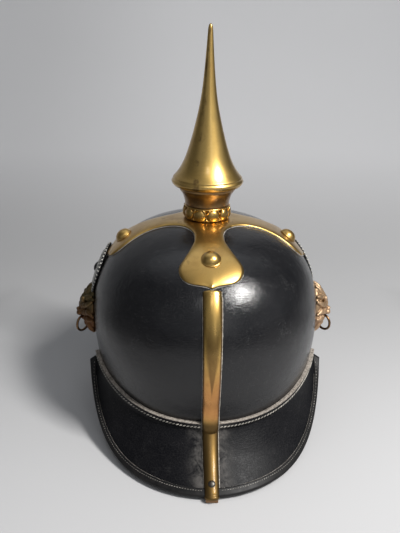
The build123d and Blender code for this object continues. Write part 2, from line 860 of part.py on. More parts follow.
def ring_rooms(side):
    """Rooms that a ring needs in the lion's mouth, from its back turn to its front turn."""
    centre, direction = ring_axis(side)
    hinge = Axis(centre, direction)
    turn = lift_sign(side)
    reach = ring_wire + ring_gap
    annulus = Circle(ring_radius + reach) - Circle(ring_radius - reach)
    below = Pos(0, -ring_radius) * Rectangle(4 * ring_radius, 4 * ring_radius)
    half = (ring_plane(side) * (annulus & below)).rotate(hinge, -ring_back_turn * turn)
    swept = revolve(half, Axis(centre, direction * turn), ring_back_turn + ring_front_turn)
    mouth_length = 2 * sqrt((ring_radius + reach) ** 2 - ring_radius**2)
    mouth = Plane(centre, z_dir=direction) * Cylinder(reach, mouth_length)
    end_ring = ring_plane(side) * Torus(ring_radius, ring_wire + ring_end_gap)
    back = end_ring.rotate(hinge, -ring_back_turn * turn)
    front = end_ring.rotate(hinge, ring_front_turn * turn)
    return swept, mouth, back, front


def ring_solid(side):
    return ring_plane(side) * Torus(ring_radius, ring_wire)


def cockade_place(side):
    angle = cockade_angle_right if side > 0 else cockade_angle_left
    point, normal = wall_point(angle, cockade_level, side)
    return Plane(point, z_dir=normal)


def cockade_disc(place, grow):
    """Dished disc with a raised middle and centre, turned about its own axis."""
    back = cockade_gap - grow
    steps = [
        (0, back),
        (cockade_centre_radius, back),
        (cockade_radius + grow, back - cockade_dish),
        (cockade_radius + grow, cockade_rim_rise - cockade_dish + grow),
        (cockade_middle_radius + grow, cockade_rim_rise - cockade_dish / 2 + grow),
        (cockade_middle_radius + grow, cockade_middle_rise - cockade_dish / 2 + grow),
        (cockade_centre_radius + grow, cockade_middle_rise + grow),
        (cockade_centre_radius + grow, cockade_centre_rise + grow),
        (0, cockade_centre_rise + grow),
    ]
    return place * revolve(make_face(Plane.XZ * Polyline(*steps, close=True)), Axis.Z)


def cockade_solid(place):
    return cockade_disc(place, 0) - place * Cylinder(rivet_shank + hole_gap, overrun)


def rivet_solid(place):
    head_level = cockade_centre_rise + seat_gap
    head = Pos(0, 0, head_level) * domed(rivet_head_radius, rivet_head_rise)
    bottom = -inner_depth(place, rivet_burr_radius) - seat_gap - rivet_burr_height
    shank = Pos(0, 0, bottom) * Cylinder(
        rivet_shank, head_level - bottom + rivet_head_rise / 2, align=(Align.CENTER, Align.CENTER, Align.MIN)
    )
    burr = Pos(0, 0, bottom) * Cylinder(
        rivet_burr_radius, rivet_burr_height, align=(Align.CENTER, Align.CENTER, Align.MIN)
    )
    return place * (head + shank + burr)


def boss_back(place):
    """Room behind a boss, hollowed like the curved side of the shell."""
    return place * (Pos(0, 0, boss_gap - boss_back_radius) * Sphere(boss_back_radius))


def boss_solid(side):
    """Lion's head casting with mane, brow, muzzle, mouth hole and post."""
    place = boss_place(side)
    oval = Ellipse(boss_half_width * boss_plate_share, boss_half_height * boss_plate_share)
    head = Pos(0, 0, -boss_mane_depth) * extrude(oval, amount=boss_mane_depth + boss_plate_rise)
    for index in range(mane_lumps):
        turn = 2 * pi * index / mane_lumps
        x = (boss_half_width - mane_lump_radius) * sin(turn)
        y = (boss_half_height - mane_lump_radius) * cos(turn)
        head += Pos(x, y, boss_mane_depth - mane_lump_radius) * Sphere(mane_lump_radius)
    head += Pos(0, brow_up, boss_brow_depth - brow_radius) * Sphere(brow_radius)
    head += Pos(0, -muzzle_down, boss_muzzle_depth - muzzle_radius) * Sphere(muzzle_radius)
    head += Pos(0, -chin_down, boss_chin_depth - chin_radius) * Sphere(chin_radius)
    head = place * head
    head -= boss_back(place)
    post_length = inner_depth(place, boss_nut_size / 2) + boss_nut_height + boss_post_over
    post = Pos(0, 0, -post_length) * Cylinder(
        boss_post_radius, post_length + boss_mane_depth / 2, align=(Align.CENTER, Align.CENTER, Align.MIN)
    )
    head = max(head.solids(), key=lambda solid: solid.volume)
    head -= cockade_disc(cockade_place(side), boss_gap)
    head += place * post
    for room in ring_rooms(side):
        head -= room
    return max(head.solids(), key=lambda solid: solid.volume)


def boss_nut(side):
    place = boss_place(side)
    top = -inner_depth(place, boss_nut_size / sqrt(3)) - seat_gap
    hexagon = RegularPolygon(boss_nut_size / 2, 6, major_radius=False)
    nut = extrude(hexagon, amount=-boss_nut_height) - Cylinder(boss_post_radius + thread_gap, overrun)
    return place * (Pos(0, 0, top) * nut)


def band_radius(level, lean):
    return wall_share(level) * half_width - leather - lean


def hem_centre():
    top_radius = band_radius(widest_level, band_top_lean)
    return top_radius - hem_radius, band_top_level


def band_solid():
    """Sweatband stitched in at its foot, its tongues hemmed round the cord."""
    foot = (band_radius(band_foot_level, band_gap), band_foot_level)
    seat = (band_radius(band_seat_level, band_gap), band_seat_level)
    lean = (band_radius(band_lean_level, band_lean), band_lean_level)
    hem_x, hem_level = hem_centre()
    top = (hem_x + hem_radius, hem_level)
    face = Spline(seat, lean, top, tangents=[(0, 1), (0, 1)])
    inner_seat = (seat[0] - band_leather, seat[1])
    inner_lean = (lean[0] - band_leather, lean[1])
    inner_top = (top[0] - band_leather, top[1])
    inner = Spline(inner_seat, inner_lean, inner_top, tangents=[(0, 1), (0, 1)])
    foot_inner = (foot[0] - band_leather, foot[1])
    close_top = Line(top, inner_top)
    close_foot = Polyline(inner_seat, foot_inner, foot, seat)
    outline = make_face(Plane.XZ * (Curve() + [face, close_top, inner, close_foot]))
    hem = Plane.XZ * (Pos(hem_x, hem_level) * Circle(hem_radius))
    band = revolve(outline, Axis.Z) + revolve(hem, Axis.Z)
    room = Plane.XZ * (Pos(hem_x, hem_level) * Circle(cord_radius + cord_gap))
    band -= revolve(room, Axis.Z)
    slot = Pos(half_width, 0, band_top_level + hem_radius * 2) * Box(
        half_width, tongue_slot_width, tongue_slot_depth * 2
    )
    for index in range(tongue_count):
        band -= Rot(0, 0, 360 / tongue_count * (index + 0.5)) * slot
    return band


def cord_solid():
    hem_x, hem_level = hem_centre()
    loop = Plane.XZ * (Pos(hem_x, hem_level) * Circle(cord_radius))
    return revolve(loop, Axis.Z)


def write(name, *solids):
    bodies = [body for solid in solids for body in Compound([solid]).solids()]
    shape = bodies[0] if len(bodies) == 1 else Compound(bodies)
    export_step(shape, f"parts/{name}.step")


def build():
    os.makedirs("parts", exist_ok=True)
    studs = stud_places()
    cockades = {side: cockade_place(side) for side in (-1, 1)}
    screw_place = spine_screw_place()
    guard_form = (-1, guard_edge_level, guard_flat_turn, guard_sweep)
    visor_form = (1, visor_edge_level, visor_flat_turn, visor_sweep)

    write("shell", shell_solid(studs, cockades))
    guard = brim_solid(*guard_form) - screw_place * Cylinder(spine_screw_radius + hole_gap, overrun / 2)
    write("neck_guard", guard)
    write("front_visor", brim_solid(*visor_form))
    write("guard_edging", strip_solid(*guard_form, strip_thickness))
    write("visor_trim", strip_solid(*visor_form, trim_thickness))

    write("cross_base", cross_solid(studs))
    write("arm_studs", *[stud_solid(place) for place in studs])
    write("arm_stud_washers", *[stud_washer(place) for place in studs])
    write("arm_stud_nuts", *[stud_nut(place) for place in studs])

    write("spike_neck", neck_solid())
    write("leaf_collar", collar_solid())
    write("crown_washer", crown_washer_solid())
    write("crown_nut", crown_nut_solid())
    write("spike", spike_solid())
    write("spike_stud", spike_stud_solid())
    write("spike_washer", washer_solid())

    write("rear_spine", spine_solid(screw_place))
    write("spine_screw", spine_screw_solid(screw_place))
    write("spine_nut", spine_nut_solid(screw_place))

    for side, name in ((-1, "left"), (1, "right")):
        write(f"lion_boss_{name}", boss_solid(side))
        write(f"lion_ring_{name}", ring_solid(side))
        write(f"cockade_{name}", cockade_solid(cockades[side]))
    write("boss_nuts", *[boss_nut(side) for side in (-1, 1)])
    write("cockade_rivets", *[rivet_solid(cockades[side]) for side in (-1, 1)])

    write("sweatband", stretched(band_solid()))
    write("sweatband_cord", stretched(cord_solid()))


build()
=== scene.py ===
import random
from math import cos, hypot, pi, radians, sin, sqrt

import bmesh
import bpy
from mathutils import Matrix, Vector
from mathutils.noise import noise


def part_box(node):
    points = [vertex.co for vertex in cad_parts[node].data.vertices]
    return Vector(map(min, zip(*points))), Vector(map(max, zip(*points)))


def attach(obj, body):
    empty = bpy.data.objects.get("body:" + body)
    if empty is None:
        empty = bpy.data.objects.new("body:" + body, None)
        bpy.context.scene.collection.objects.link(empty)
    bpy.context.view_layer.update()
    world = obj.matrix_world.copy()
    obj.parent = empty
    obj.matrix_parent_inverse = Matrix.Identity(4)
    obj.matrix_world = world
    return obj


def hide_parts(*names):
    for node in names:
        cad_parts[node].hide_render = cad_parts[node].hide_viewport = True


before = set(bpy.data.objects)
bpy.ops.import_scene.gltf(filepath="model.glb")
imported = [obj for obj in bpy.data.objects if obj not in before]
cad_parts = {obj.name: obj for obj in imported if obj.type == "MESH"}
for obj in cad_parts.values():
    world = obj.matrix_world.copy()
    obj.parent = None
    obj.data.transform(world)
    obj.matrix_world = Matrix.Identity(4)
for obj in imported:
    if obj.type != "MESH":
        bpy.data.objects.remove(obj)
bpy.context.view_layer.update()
random.seed(7)
foot_shares = {}

# Sizes in metres
mm = 0.001
shell_low, shell_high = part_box("shell")
half_width = shell_high.x
half_length = shell_high.y
crown_level = shell_high.z
rim_rear_level = shell_low.z
widest_level = crown_level / 2
roundness = 2.5
wall_draw = 4.4 * mm
leather = 3 * mm
rim_side_level = 54 * mm
rim_front_level = 36 * mm
rim_run = 112 * mm
seat_gap = 0.15 * mm
skin = 0.3 * mm

# Guard and visor
seam_overlap = 8 * mm
brim_foot_half_width = 98.5 * mm
guard_foot_reach = 136 * mm
visor_foot_reach = 138.7 * mm
brim_concavity = 1.3
corner_turn = 73
corner_flare_share = 0.75
strip_band = 5 * mm
guard_form = {"end": -1, "edge": 3.95 * mm, "flat_turn": 22, "sweep": 2.2, "reach": guard_foot_reach}
visor_form = {"end": 1, "edge": 2.9 * mm, "flat_turn": 26, "sweep": 1.9, "reach": visor_foot_reach}

# Stitches and dried polish
seam_stitch_share = 0.18
edge_stitch_distance = 3.3 * mm
spine_clear = 7 * mm
polish_turn = 66
polish_steps = 240
polish_sides = 6

# Cross on the crown
rear_arm = {"waist": 10.8 * mm, "shoulder": 22.8 * mm, "tip": 85.5 * mm}
side_arm = {"waist": 13.2 * mm, "shoulder": 19.6 * mm, "tip": 81.0 * mm}
notch_radius = 25 * mm
cross_edge_rise = 0.9 * mm
cross_pillow_rise = 0.95 * mm
stud_distance = 66 * mm
pillow_width = 7.5 * mm
arms = (rear_arm, side_arm, rear_arm, side_arm)


def wall_share(level):
    """Share of the widest outline that the shell has at a level."""
    if level >= widest_level:
        rise = min(1, (level - widest_level) / (crown_level - widest_level))
        return (1 - rise**roundness) ** (1 / roundness)
    drop = min(1, (widest_level - level) / (widest_level - rim_rear_level))
    return 1 - wall_draw / half_width * (1 - cos(pi * drop)) / 2


def wall_radius(turn, level):
    """Distance of the shell from its axis, turn in degrees from front or rear."""
    share = wall_share(level)
    return share / hypot(sin(radians(turn)) / half_width, cos(radians(turn)) / half_length)


def dome_point(x, y, rise=0.0):
    """Point over the dome at a plan position, moved out along the normal by rise."""
    plan = min(0.999, hypot(x / half_width, y / half_length))
    level = (1 - plan**roundness) ** (1 / roundness)
    high = crown_level - widest_level
    pull = plan ** (roundness - 2)
    normal = Vector((pull * x / half_width**2, pull * y / half_length**2, level ** (roundness - 1) / high))
    normal.normalize()
    return Vector((x, y, widest_level + high * level)) + normal * rise, normal


def rim_level(y):
    """Level of the shell's rim over a lengthwise position."""
    end_level = rim_rear_level if y < 0 else rim_front_level
    run = 1 - min(abs(y) / rim_run, 1)
    return end_level + (rim_side_level - end_level) * run**2 * (3 - 2 * run)


def through(points, share):
    """Point on a smooth curve through the given points, share from 0 to 1."""
    spans = len(points) - 1
    index = min(int(share * spans), spans - 1)
    step = share * spans - index
    first = points[index]
    second = points[index + 1]
    before = points[index - 1] if index else first * 2 - second
    after = points[index + 2] if index + 2 <= spans else second * 2 - first
    slope = (second - before) / 2
    next_slope = (after - first) / 2
    square = step * step
    cube = square * step
    return (
        first * (2 * cube - 3 * square + 1)
        + slope * (cube - 2 * square + step)
        + second * (3 * square - 2 * cube)
        + next_slope * (cube - square)
    )


# Meshes


def grid(columns, rows, place):
    """Sheet whose points go where place(across, along) puts them, both from 0 to 1."""
    bm = bmesh.new()
    bmesh.ops.create_grid(bm, x_segments=columns, y_segments=rows, size=0.5)
    for vertex in bm.verts:
        vertex.co = place(vertex.co.x + 0.5, vertex.co.y + 0.5)
    return bm


def closed_skin(bm):
    """Merges the doubles at seams and poles, then turns the faces outwards."""
    bmesh.ops.remove_doubles(bm, verts=bm.verts, dist=mm / 1000)
    bmesh.ops.recalc_face_normals(bm, faces=bm.faces)
    return bm


def turned(points, steps=96):
    """Skin turned about Z from radius and level points."""
    bm = bmesh.new()
    chain = [bm.verts.new((radius, 0, level)) for radius, level in points]
    edges = [bm.edges.new(pair) for pair in zip(chain, chain[1:])]
    bmesh.ops.spin(
        bm, geom=chain + edges, cent=(0, 0, 0), axis=(0, 0, 1), angle=2 * pi, steps=steps, use_merge=True
    )
    return closed_skin(bm)


def turned_mm(points, steps=96):
    """Skin turned about Z from radius and level points in millimetres."""
    return turned([(radius * mm, level * mm) for radius, level in points], steps)


def gather(bm, part):
    """Moves the mesh of part into bm."""
    mesh = bpy.data.meshes.new("part")
    part.to_mesh(mesh)
    part.free()
    bm.from_mesh(mesh)
    bpy.data.meshes.remove(mesh)


def axes_matrix(x_way, y_way, z_way):
    """Matrix that turns X, Y and Z to three ways."""
    return Matrix((x_way, y_way, z_way)).transposed().to_4x4()


def seat_matrix(point, out):
    """Matrix of a seat at a point, Z along out."""
    return Matrix.Translation(point) @ out.to_track_quat("Z", "Y").to_matrix().to_4x4()


def facing_out(bm, centre):
    """Turns an open sheet so that its faces look away from centre."""
    bm.normal_update()
    total = sum(face.normal.dot(face.calc_center_median() - centre) * face.calc_area() for face in bm.faces)
    if total < 0:
        bmesh.ops.reverse_faces(bm, faces=bm.faces)
    return bm


def template(kind, steps):
    """Points and faces of a unit ball, for Lumps to copy."""
    bm = bmesh.new()
    if kind == "ball":
        bmesh.ops.create_uvsphere(bm, u_segments=steps, v_segments=steps // 2, radius=1)
    else:
        bmesh.ops.create_icosphere(bm, subdivisions=steps, radius=1)
    points = [vertex.co.copy() for vertex in bm.verts]
    faces = [[vertex.index for vertex in face.verts] for face in bm.faces]
    bm.free()
    return points, faces


class Lumps:
    """Many small balls and bars gathered into one mesh."""

    def __init__(self):
        self.points = []
        self.faces = []
        self.templates = {}

    def add(self, kind, steps, matrix):
        key = (kind, steps)
        if key not in self.templates:
            self.templates[key] = template(kind, steps)
        points, faces = self.templates[key]
        start = len(self.points)
        self.points += [matrix @ point for point in points]
        self.faces += [[start + index for index in face] for face in faces]

    def ball(self, centre, radii, turn=None, steps=16):
        """Adds an oval ball with its own three radii."""
        matrix = Matrix.Translation(centre)
        if turn is not None:
            matrix = matrix @ turn
        self.add("ball", steps, matrix @ Matrix.Diagonal((*radii, 1)))

    def bead(self, start, end, thick, flat=1.0, up=Vector((0, 0, 1))):
        """Adds a slim rounded bar between two points."""
        along = (end - start).normalized()
        side = up.cross(along).normalized()
        turn = axes_matrix(along, side, along.cross(side))
        matrix = Matrix.Translation((start + end) / 2) @ turn
        self.add("bar", 2, matrix @ Matrix.Diagonal(((end - start).length / 2, thick, thick * flat, 1)))

    def into(self, bm):
        """Puts the gathered mesh into bm."""
        mesh = bpy.data.meshes.new("lumps")
        mesh.from_pydata(self.points, [], self.faces)
        bm.from_mesh(mesh)
        bpy.data.meshes.remove(mesh)
        return bm


def tube(points, radii, sides=8, closed=False):
    """Tube round a run of points with a radius at each."""
    count = len(points)
    rows = count if closed else count - 1

    def place(across, along):
        index = round(along * rows)
        here = points[index % count]
        before = points[(index - 1) % count] if closed or index else here
        after = points[(index + 1) % count] if closed or index < count - 1 else here
        forward = (after - before).normalized()
        side = forward.cross(Vector((0, 0, 1)))
        if side.length < 0.01:
            side = forward.cross(Vector((0, 1, 0)))
        side.normalize()
        up = side.cross(forward)
        angle = 2 * pi * across
        return here + (side * cos(angle) + up * sin(angle)) * radii[index % count]

    bm = grid(sides, rows, place)
    bmesh.ops.remove_doubles(bm, verts=bm.verts, dist=mm / 1000)
    if not closed:
        open_edges = [edge for edge in bm.edges if edge.is_boundary]
        bmesh.ops.holes_fill(bm, edges=open_edges, sides=0)
    bmesh.ops.recalc_face_normals(bm, faces=bm.faces)
    return bm


def linked(name, data):
    """New object in the scene."""
    thing = bpy.data.objects.new(name, data)
    bpy.context.scene.collection.objects.link(thing)
    return thing


def smooth_mesh(name, bm, finishes):
    mesh = bpy.data.meshes.new(name)
    bm.to_mesh(mesh)
    bm.free()
    for finish in finishes:
        mesh.materials.append(finish.material)
    for polygon in mesh.polygons:
        polygon.use_smooth = True
    return mesh


def finished(name, bm, finishes, stands_for=(), sharp=40, body="helmet"):
    """Piece on its body, with its finishes and the nodes that it stands for."""
    mesh = smooth_mesh(name, bm, finishes)
    mesh.set_sharp_from_angle(angle=radians(sharp))
    piece = linked(name, mesh)
    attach(piece, body)
    if stands_for:
        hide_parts(*stands_for)
    return piece


def thicken(piece, thickness, rim_finish=0, even=True):
    wall = piece.modifiers.new("wall", "SOLIDIFY")
    wall.thickness = thickness
    wall.offset = -1
    wall.use_even_offset = even
    wall.material_offset_rim = rim_finish
    return piece


def round_edges(piece, width, segments=2, angle=35):
    edge = piece.modifiers.new("edge", "BEVEL")
    edge.width = width
    edge.segments = segments
    edge.limit_method = "ANGLE"
    edge.angle_limit = radians(angle)
    return piece


def subdivided(piece, levels=1):
    smooth = piece.modifiers.new("smooth", "SUBSURF")
    smooth.levels = levels
    smooth.render_levels = levels
    return piece


# Finishes


class Finish:
    """One procedural material, built node by node."""

    def __init__(self, name):
        self.material = bpy.data.materials.new(name)
        self.material.use_nodes = True
        self.tree = self.material.node_tree
        self.shader = self.tree.nodes["Principled BSDF"]
        self.place = self.node("ShaderNodeTexCoord").outputs["Object"]

    def node(self, kind, feeds=None, **settings):
        made = self.tree.nodes.new(kind)
        for key, value in settings.items():
            setattr(made, key, value)
        for key, value in (feeds or {}).items():
            self.feed(made.inputs[key], value)
        return made

    def feed(self, socket, value):
        if isinstance(value, bpy.types.NodeSocket):
            self.tree.links.new(value, socket)
        else:
            socket.default_value = value

    def set(self, **values):
        for key, value in values.items():
            self.feed(self.shader.inputs[key.replace("_", " ")], value)

    def stretched_place(self, x, y, z):
        return self.node("ShaderNodeMapping", {"Vector": self.place, "Scale": (x, y, z)}).outputs["Vector"]

    def noise(self, scale, detail=4.0, roughness=0.6, distortion=0.0, place=None):
        feeds = {
            "Vector": place or self.place,
            "Scale": scale,
            "Detail": detail,
            "Roughness": roughness,
            "Distortion": distortion,
        }
        return self.node("ShaderNodeTexNoise", feeds).outputs["Fac"]

    def cracks(self, scale, place=None):
        feeds = {"Vector": place or self.place, "Scale": scale}
        return self.node("ShaderNodeTexVoronoi", feeds, feature="DISTANCE_TO_EDGE").outputs["Distance"]

    def vector_maths(self, operation, feeds):
        return self.node("ShaderNodeVectorMath", feeds, operation=operation).outputs[0]

    def warped(self, scale, amount):
        """Place pushed about by a slow noise."""
        push = self.node("ShaderNodeTexNoise", {"Vector": self.place, "Scale": scale}).outputs["Color"]
        centred = self.vector_maths("SUBTRACT", {0: push, 1: (0.5, 0.5, 0.5)})
        scaled = self.vector_maths("SCALE", {0: centred, "Scale": amount})
        return self.vector_maths("ADD", {0: self.place, 1: scaled})

    def between(self, value, low, high, out_low=0.0, out_high=1.0):
        feeds = {"Value": value, "From Min": low, "From Max": high, "To Min": out_low, "To Max": out_high}
        return self.node("ShaderNodeMapRange", feeds, interpolation_type="SMOOTHSTEP").outputs["Result"]

    def maths(self, operation, first, second=0.0):
        return self.node("ShaderNodeMath", {0: first, 1: second}, operation=operation).outputs[0]

    def times(self, first, second):
        return self.maths("MULTIPLY", first, second)

    def mix(self, share, first, second):
        made = self.node("ShaderNodeMix", data_type="RGBA", blend_type="MIX")
        self.feed(made.inputs[0], share)
        self.feed(made.inputs[6], (*first, 1) if isinstance(first, tuple) else first)
        self.feed(made.inputs[7], (*second, 1) if isinstance(second, tuple) else second)
        return made.outputs[2]

    def tint(self, base, share, strength, colour):
        """Base turned towards a colour by a share of a strength."""
        return self.mix(self.times(share, strength), base, colour)

    def now(self, name):
        """What the shader's input is fed by now."""
        return self.shader.inputs[name].links[0].from_socket

    def axis(self, name):
        return self.node("ShaderNodeSeparateXYZ", {0: self.place}).outputs[name]

    def off_centre(self):
        """Distance to the left or right of the middle plane."""
        return self.maths("ABSOLUTE", self.axis("X"))

    def bump(self, height, distance, strength=1.0, under=None):
        feeds = {"Height": height, "Distance": distance, "Strength": strength}
        if under is not None:
            feeds["Normal"] = under
        return self.node("ShaderNodeBump", feeds).outputs["Normal"]


def black_leather(name, dust_share, crackle=1.0, rough=0.12, gloss=0.5):
    """Lacquered black leather with a fine crackle, grain lines, rubs and dust."""
    finish = Finish(name)
    warped = finish.warped(90, 6 * mm)
    crack = finish.cracks(620, warped)
    coarse_crack = finish.cracks(210, warped)
    line_place = finish.stretched_place(0.35, 0.35, 3.2)
    lines = finish.noise(420, 5, 0.7, 0.6, line_place)
    cloud = finish.noise(24, 5, 0.65)
    speck = finish.noise(1500, 2, 0.5)
    rub = finish.noise(70, 6, 0.75, 1.2)

    base = finish.mix(finish.between(cloud, 0.35, 0.75), (0.0034, 0.0036, 0.0048), (0.0085, 0.0086, 0.0098))
    worn = finish.times(finish.between(rub, 0.52, 0.78), finish.between(lines, 0.45, 0.7))
    base = finish.tint(base, worn, 0.55, (0.075, 0.074, 0.072))
    in_crack = finish.between(crack, 0.0, 0.09, 1.0, 0.0)
    base = finish.tint(base, in_crack, 0.4, (0.030, 0.029, 0.030))
    dust = finish.times(finish.between(speck, 0.70, 0.76), finish.between(cloud, 0.4, 0.7))
    base = finish.tint(base, dust, dust_share, (0.22, 0.215, 0.20))

    roughness = finish.between(rub, 0.3, 0.8, rough, rough + 0.12)
    roughness = finish.maths("ADD", roughness, finish.times(in_crack, 0.08))

    normal = finish.bump(finish.between(crack, 0.0, 0.12), 0.04 * mm * crackle, 0.5)
    normal = finish.bump(finish.between(coarse_crack, 0.0, 0.05), 0.03 * mm * crackle, 0.4, normal)
    normal = finish.bump(lines, 0.16 * mm, 0.6, normal)
    normal = finish.bump(finish.noise(55, 3, 0.5), 1.2 * mm, 0.35, normal)
    finish.set(Base_Color=base, Specular_IOR_Level=gloss, Roughness=roughness, Normal=normal)
    return finish


def hazed_guard_leather():
    """The guard's leather, with dried polish beside the spine."""
    finish = black_leather("guard_leather", 0.6, 1.3, 0.34, 0.10)
    near = finish.between(finish.off_centre(), 6 * mm, 20 * mm, 1.0, 0.0)
    rear = finish.between(finish.axis("Y"), -90 * mm, -100 * mm)
    smear = finish.between(finish.noise(110, 6, 0.75, 0.8), 0.35, 0.68)
    share = finish.times(finish.times(near, rear), smear)
    finish.set(Base_Color=finish.tint(finish.now("Base Color"), share, 0.55, (0.16, 0.15, 0.14)))
    return finish


def aged_brass(name, light, dark, tarnish_share=0.35, rough=0.27):
    """Polished brass gone dull, with brown clouds, spots and fine scratches."""
    finish = Finish(name)
    cloud = finish.noise(45, 6, 0.65, 0.5)
    fine = finish.noise(420, 6, 0.7)
    spots = finish.noise(160, 3, 0.5, 0.3)
    scratch_place = finish.stretched_place(1.0, 1.0, 0.12)
    scratch = finish.noise(900, 4, 0.8, 0.0, scratch_place)
    colour = finish.mix(finish.between(cloud, 0.38, 0.72), light, dark)
    colour = finish.tint(colour, finish.between(fine, 0.5, 0.8), 0.25, dark)
    stain = finish.times(finish.between(spots, 0.62, 0.74), tarnish_share)
    colour = finish.mix(stain, colour, (0.085, 0.042, 0.016))
    roughness = finish.between(cloud, 0.3, 0.8, rough, rough + 0.16)
    roughness = finish.maths("ADD", roughness, finish.times(stain, 0.25))
    normal = finish.bump(scratch, 0.02 * mm, 0.4)
    normal = finish.bump(finish.noise(60, 2, 0.5), 0.6 * mm, 0.16, normal)
    finish.set(Base_Color=colour, Metallic=1.0, Roughness=roughness, Normal=normal)
    finish.set(Coat_Weight=0.45, Coat_Roughness=0.14)
    return finish


def spike_brass():
    """The spike's brass with a dark run down its left rear side."""
    finish = aged_brass("spike_brass", (0.68, 0.45, 0.135), (0.50, 0.315, 0.09), 0.15, 0.28)
    level = finish.axis("Z")
    wander = finish.between(finish.noise(30, 2, 0.5), 0.2, 0.8, -3 * mm, 3 * mm)
    lean = finish.between(level, 190 * mm, 310 * mm, 9.5 * mm, 0.0)
    away = finish.maths("ABSOLUTE", finish.maths("ADD", finish.axis("X"), finish.maths("ADD", lean, wander)))
    width = finish.between(level, 195 * mm, 300 * mm, 2.6 * mm, 0.7 * mm)
    run = finish.between(finish.maths("DIVIDE", away, width), 0.4, 1.0, 1.0, 0.0)
    rear = finish.between(finish.axis("Y"), 0.0, -mm)
    patchy = finish.between(finish.noise(95, 4, 0.6), 0.46, 0.64)
    share = finish.times(finish.times(run, rear), patchy)
    base = finish.tint(finish.now("Base Color"), share, 0.7, (0.14, 0.07, 0.025))
    finish.set(Base_Color=base, Coat_Weight=0.7)
    return finish


def spine_brass_finish():
    """The spine's brass, redder over the seam, with a painted dark reflection as a darker wedge at mid height
    and a painted dark reflection at the foot.
    """
    finish = aged_brass("spine_brass", (0.66, 0.43, 0.13), (0.42, 0.25, 0.07), 0.3, 0.25)
    level = finish.axis("Z")
    red = finish.times(finish.between(level, 36 * mm, 52 * mm), finish.between(level, 105 * mm, 60 * mm))
    base = finish.tint(finish.now("Base Color"), red, 0.65, (0.62, 0.25, 0.095))
    # Painted dark reflection: the foot's colour is darkened to stand in for a dark reflection there.
    foot = finish.between(level, 40 * mm, 47 * mm, 1.0, 0.0)
    base = finish.tint(base, foot, 0.95, (0.12, 0.072, 0.024))
    # Painted dark reflection, not tarnish: a darker wedge down the middle, narrow at its lower end and
    # widening upwards.
    wedge_half = finish.between(level, 66 * mm, 105 * mm, 0.4 * mm, 5 * mm)
    wedge = finish.between(finish.maths("DIVIDE", finish.off_centre(), wedge_half), 0.55, 1.25, 0.7, 0.0)
    dull = finish.times(finish.between(level, 64 * mm, 74 * mm), finish.between(level, 135 * mm, 100 * mm))
    base = finish.tint(base, dull, wedge, (0.13, 0.075, 0.03))
    roughness = finish.maths("ADD", finish.now("Roughness"), finish.times(foot, 0.20))
    finish.set(Base_Color=base, Roughness=roughness, Coat_Weight=0.15)
    return finish


def plain_finish(name, colour, second, roughness, metallic=0.0, scale=300.0, bump=0.1 * mm):
    """Clouds of two colours, with a low bump to match."""
    finish = Finish(name)
    cloud = finish.noise(scale, 5, 0.6)
    finish.set(
        Base_Color=finish.mix(finish.between(cloud, 0.35, 0.7), colour, second),
        Metallic=metallic,
        Roughness=finish.between(cloud, 0.3, 0.8, roughness, roughness + 0.12),
        Normal=finish.bump(cloud, bump, 0.6),
    )
    return finish


def lion_finish():
    """Brown patina over cast brass, brighter on what stands out, with painted light on the right side and
    painted shade on the left.
    """
    finish = Finish("boss_brass")
    cloud = finish.noise(110, 6, 0.65)
    fine = finish.noise(900, 4, 0.7)
    level = finish.axis("Z")
    # Painted light and shade: the right side is lightened and the left kept dark, where the lamp falls and
    # where it doesn't.
    right = finish.between(finish.axis("X"), -90 * mm, 90 * mm)
    dark = finish.mix(finish.between(level, 75 * mm, 100 * mm), (0.13, 0.055, 0.022), (0.10, 0.082, 0.036))
    dark = finish.tint(dark, right, 0.6, (0.50, 0.33, 0.20))
    # The colour of worn high points is also painted lighter on the right, as painted light.
    wear_and_light_colour = finish.mix(right, (0.24, 0.13, 0.05), (0.88, 0.62, 0.40))
    worn = finish.between(finish.node("ShaderNodeNewGeometry").outputs["Pointiness"], 0.49, 0.56)
    colour = finish.tint(dark, worn, finish.between(cloud, 0.3, 0.7), wear_and_light_colour)
    colour = finish.tint(colour, finish.between(fine, 0.55, 0.75), 0.4, (0.05, 0.03, 0.014))
    finish.set(
        Base_Color=colour,
        Metallic=0.75,
        Roughness=finish.between(cloud, 0.3, 0.7, 0.38, 0.58),
        Normal=finish.bump(fine, 0.08 * mm, 0.7),
    )
    return finish


leather_finish = black_leather("black_leather", 0.9)
guard_finish = hazed_guard_leather()
edge_finish = plain_finish("edge_leather", (0.006, 0.006, 0.0065), (0.013, 0.012, 0.012), 0.45)
edge_finish.set(Specular_IOR_Level=0.22)
raw_edge_finish = plain_finish("raw_edge", (0.34, 0.30, 0.26), (0.11, 0.095, 0.08), 0.75, 0.0, 700, 0.3 * mm)
polish_finish = plain_finish(
    "dried_polish", (0.50, 0.465, 0.42), (0.24, 0.22, 0.19), 0.85, scale=900, bump=0.3 * mm
)
thread_finish = plain_finish("thread", (0.17, 0.16, 0.14), (0.60, 0.56, 0.50), 0.7, 0.0, 160)
cross_finish = aged_brass("cross_brass", (0.62, 0.40, 0.12), (0.46, 0.28, 0.08))
spike_finish = spike_brass()
neck_finish = aged_brass("neck_brass", (0.38, 0.225, 0.085), (0.19, 0.10, 0.04), 0.4, 0.28)
collar_finish = aged_brass("collar_brass", (0.60, 0.38, 0.11), (0.34, 0.19, 0.05), 0.3, 0.26)
spine_finish = spine_brass_finish()
trim_finish = aged_brass("trim_brass", (0.63, 0.42, 0.125), (0.43, 0.265, 0.07))
boss_finish = lion_finish()
ring_finish = aged_brass("ring_brass", (0.24, 0.13, 0.055), (0.10, 0.05, 0.022), 0.6, 0.30)
fitting_finish = aged_brass("fitting_brass", (0.45, 0.33, 0.14), (0.28, 0.19, 0.07), 0.4, 0.35)
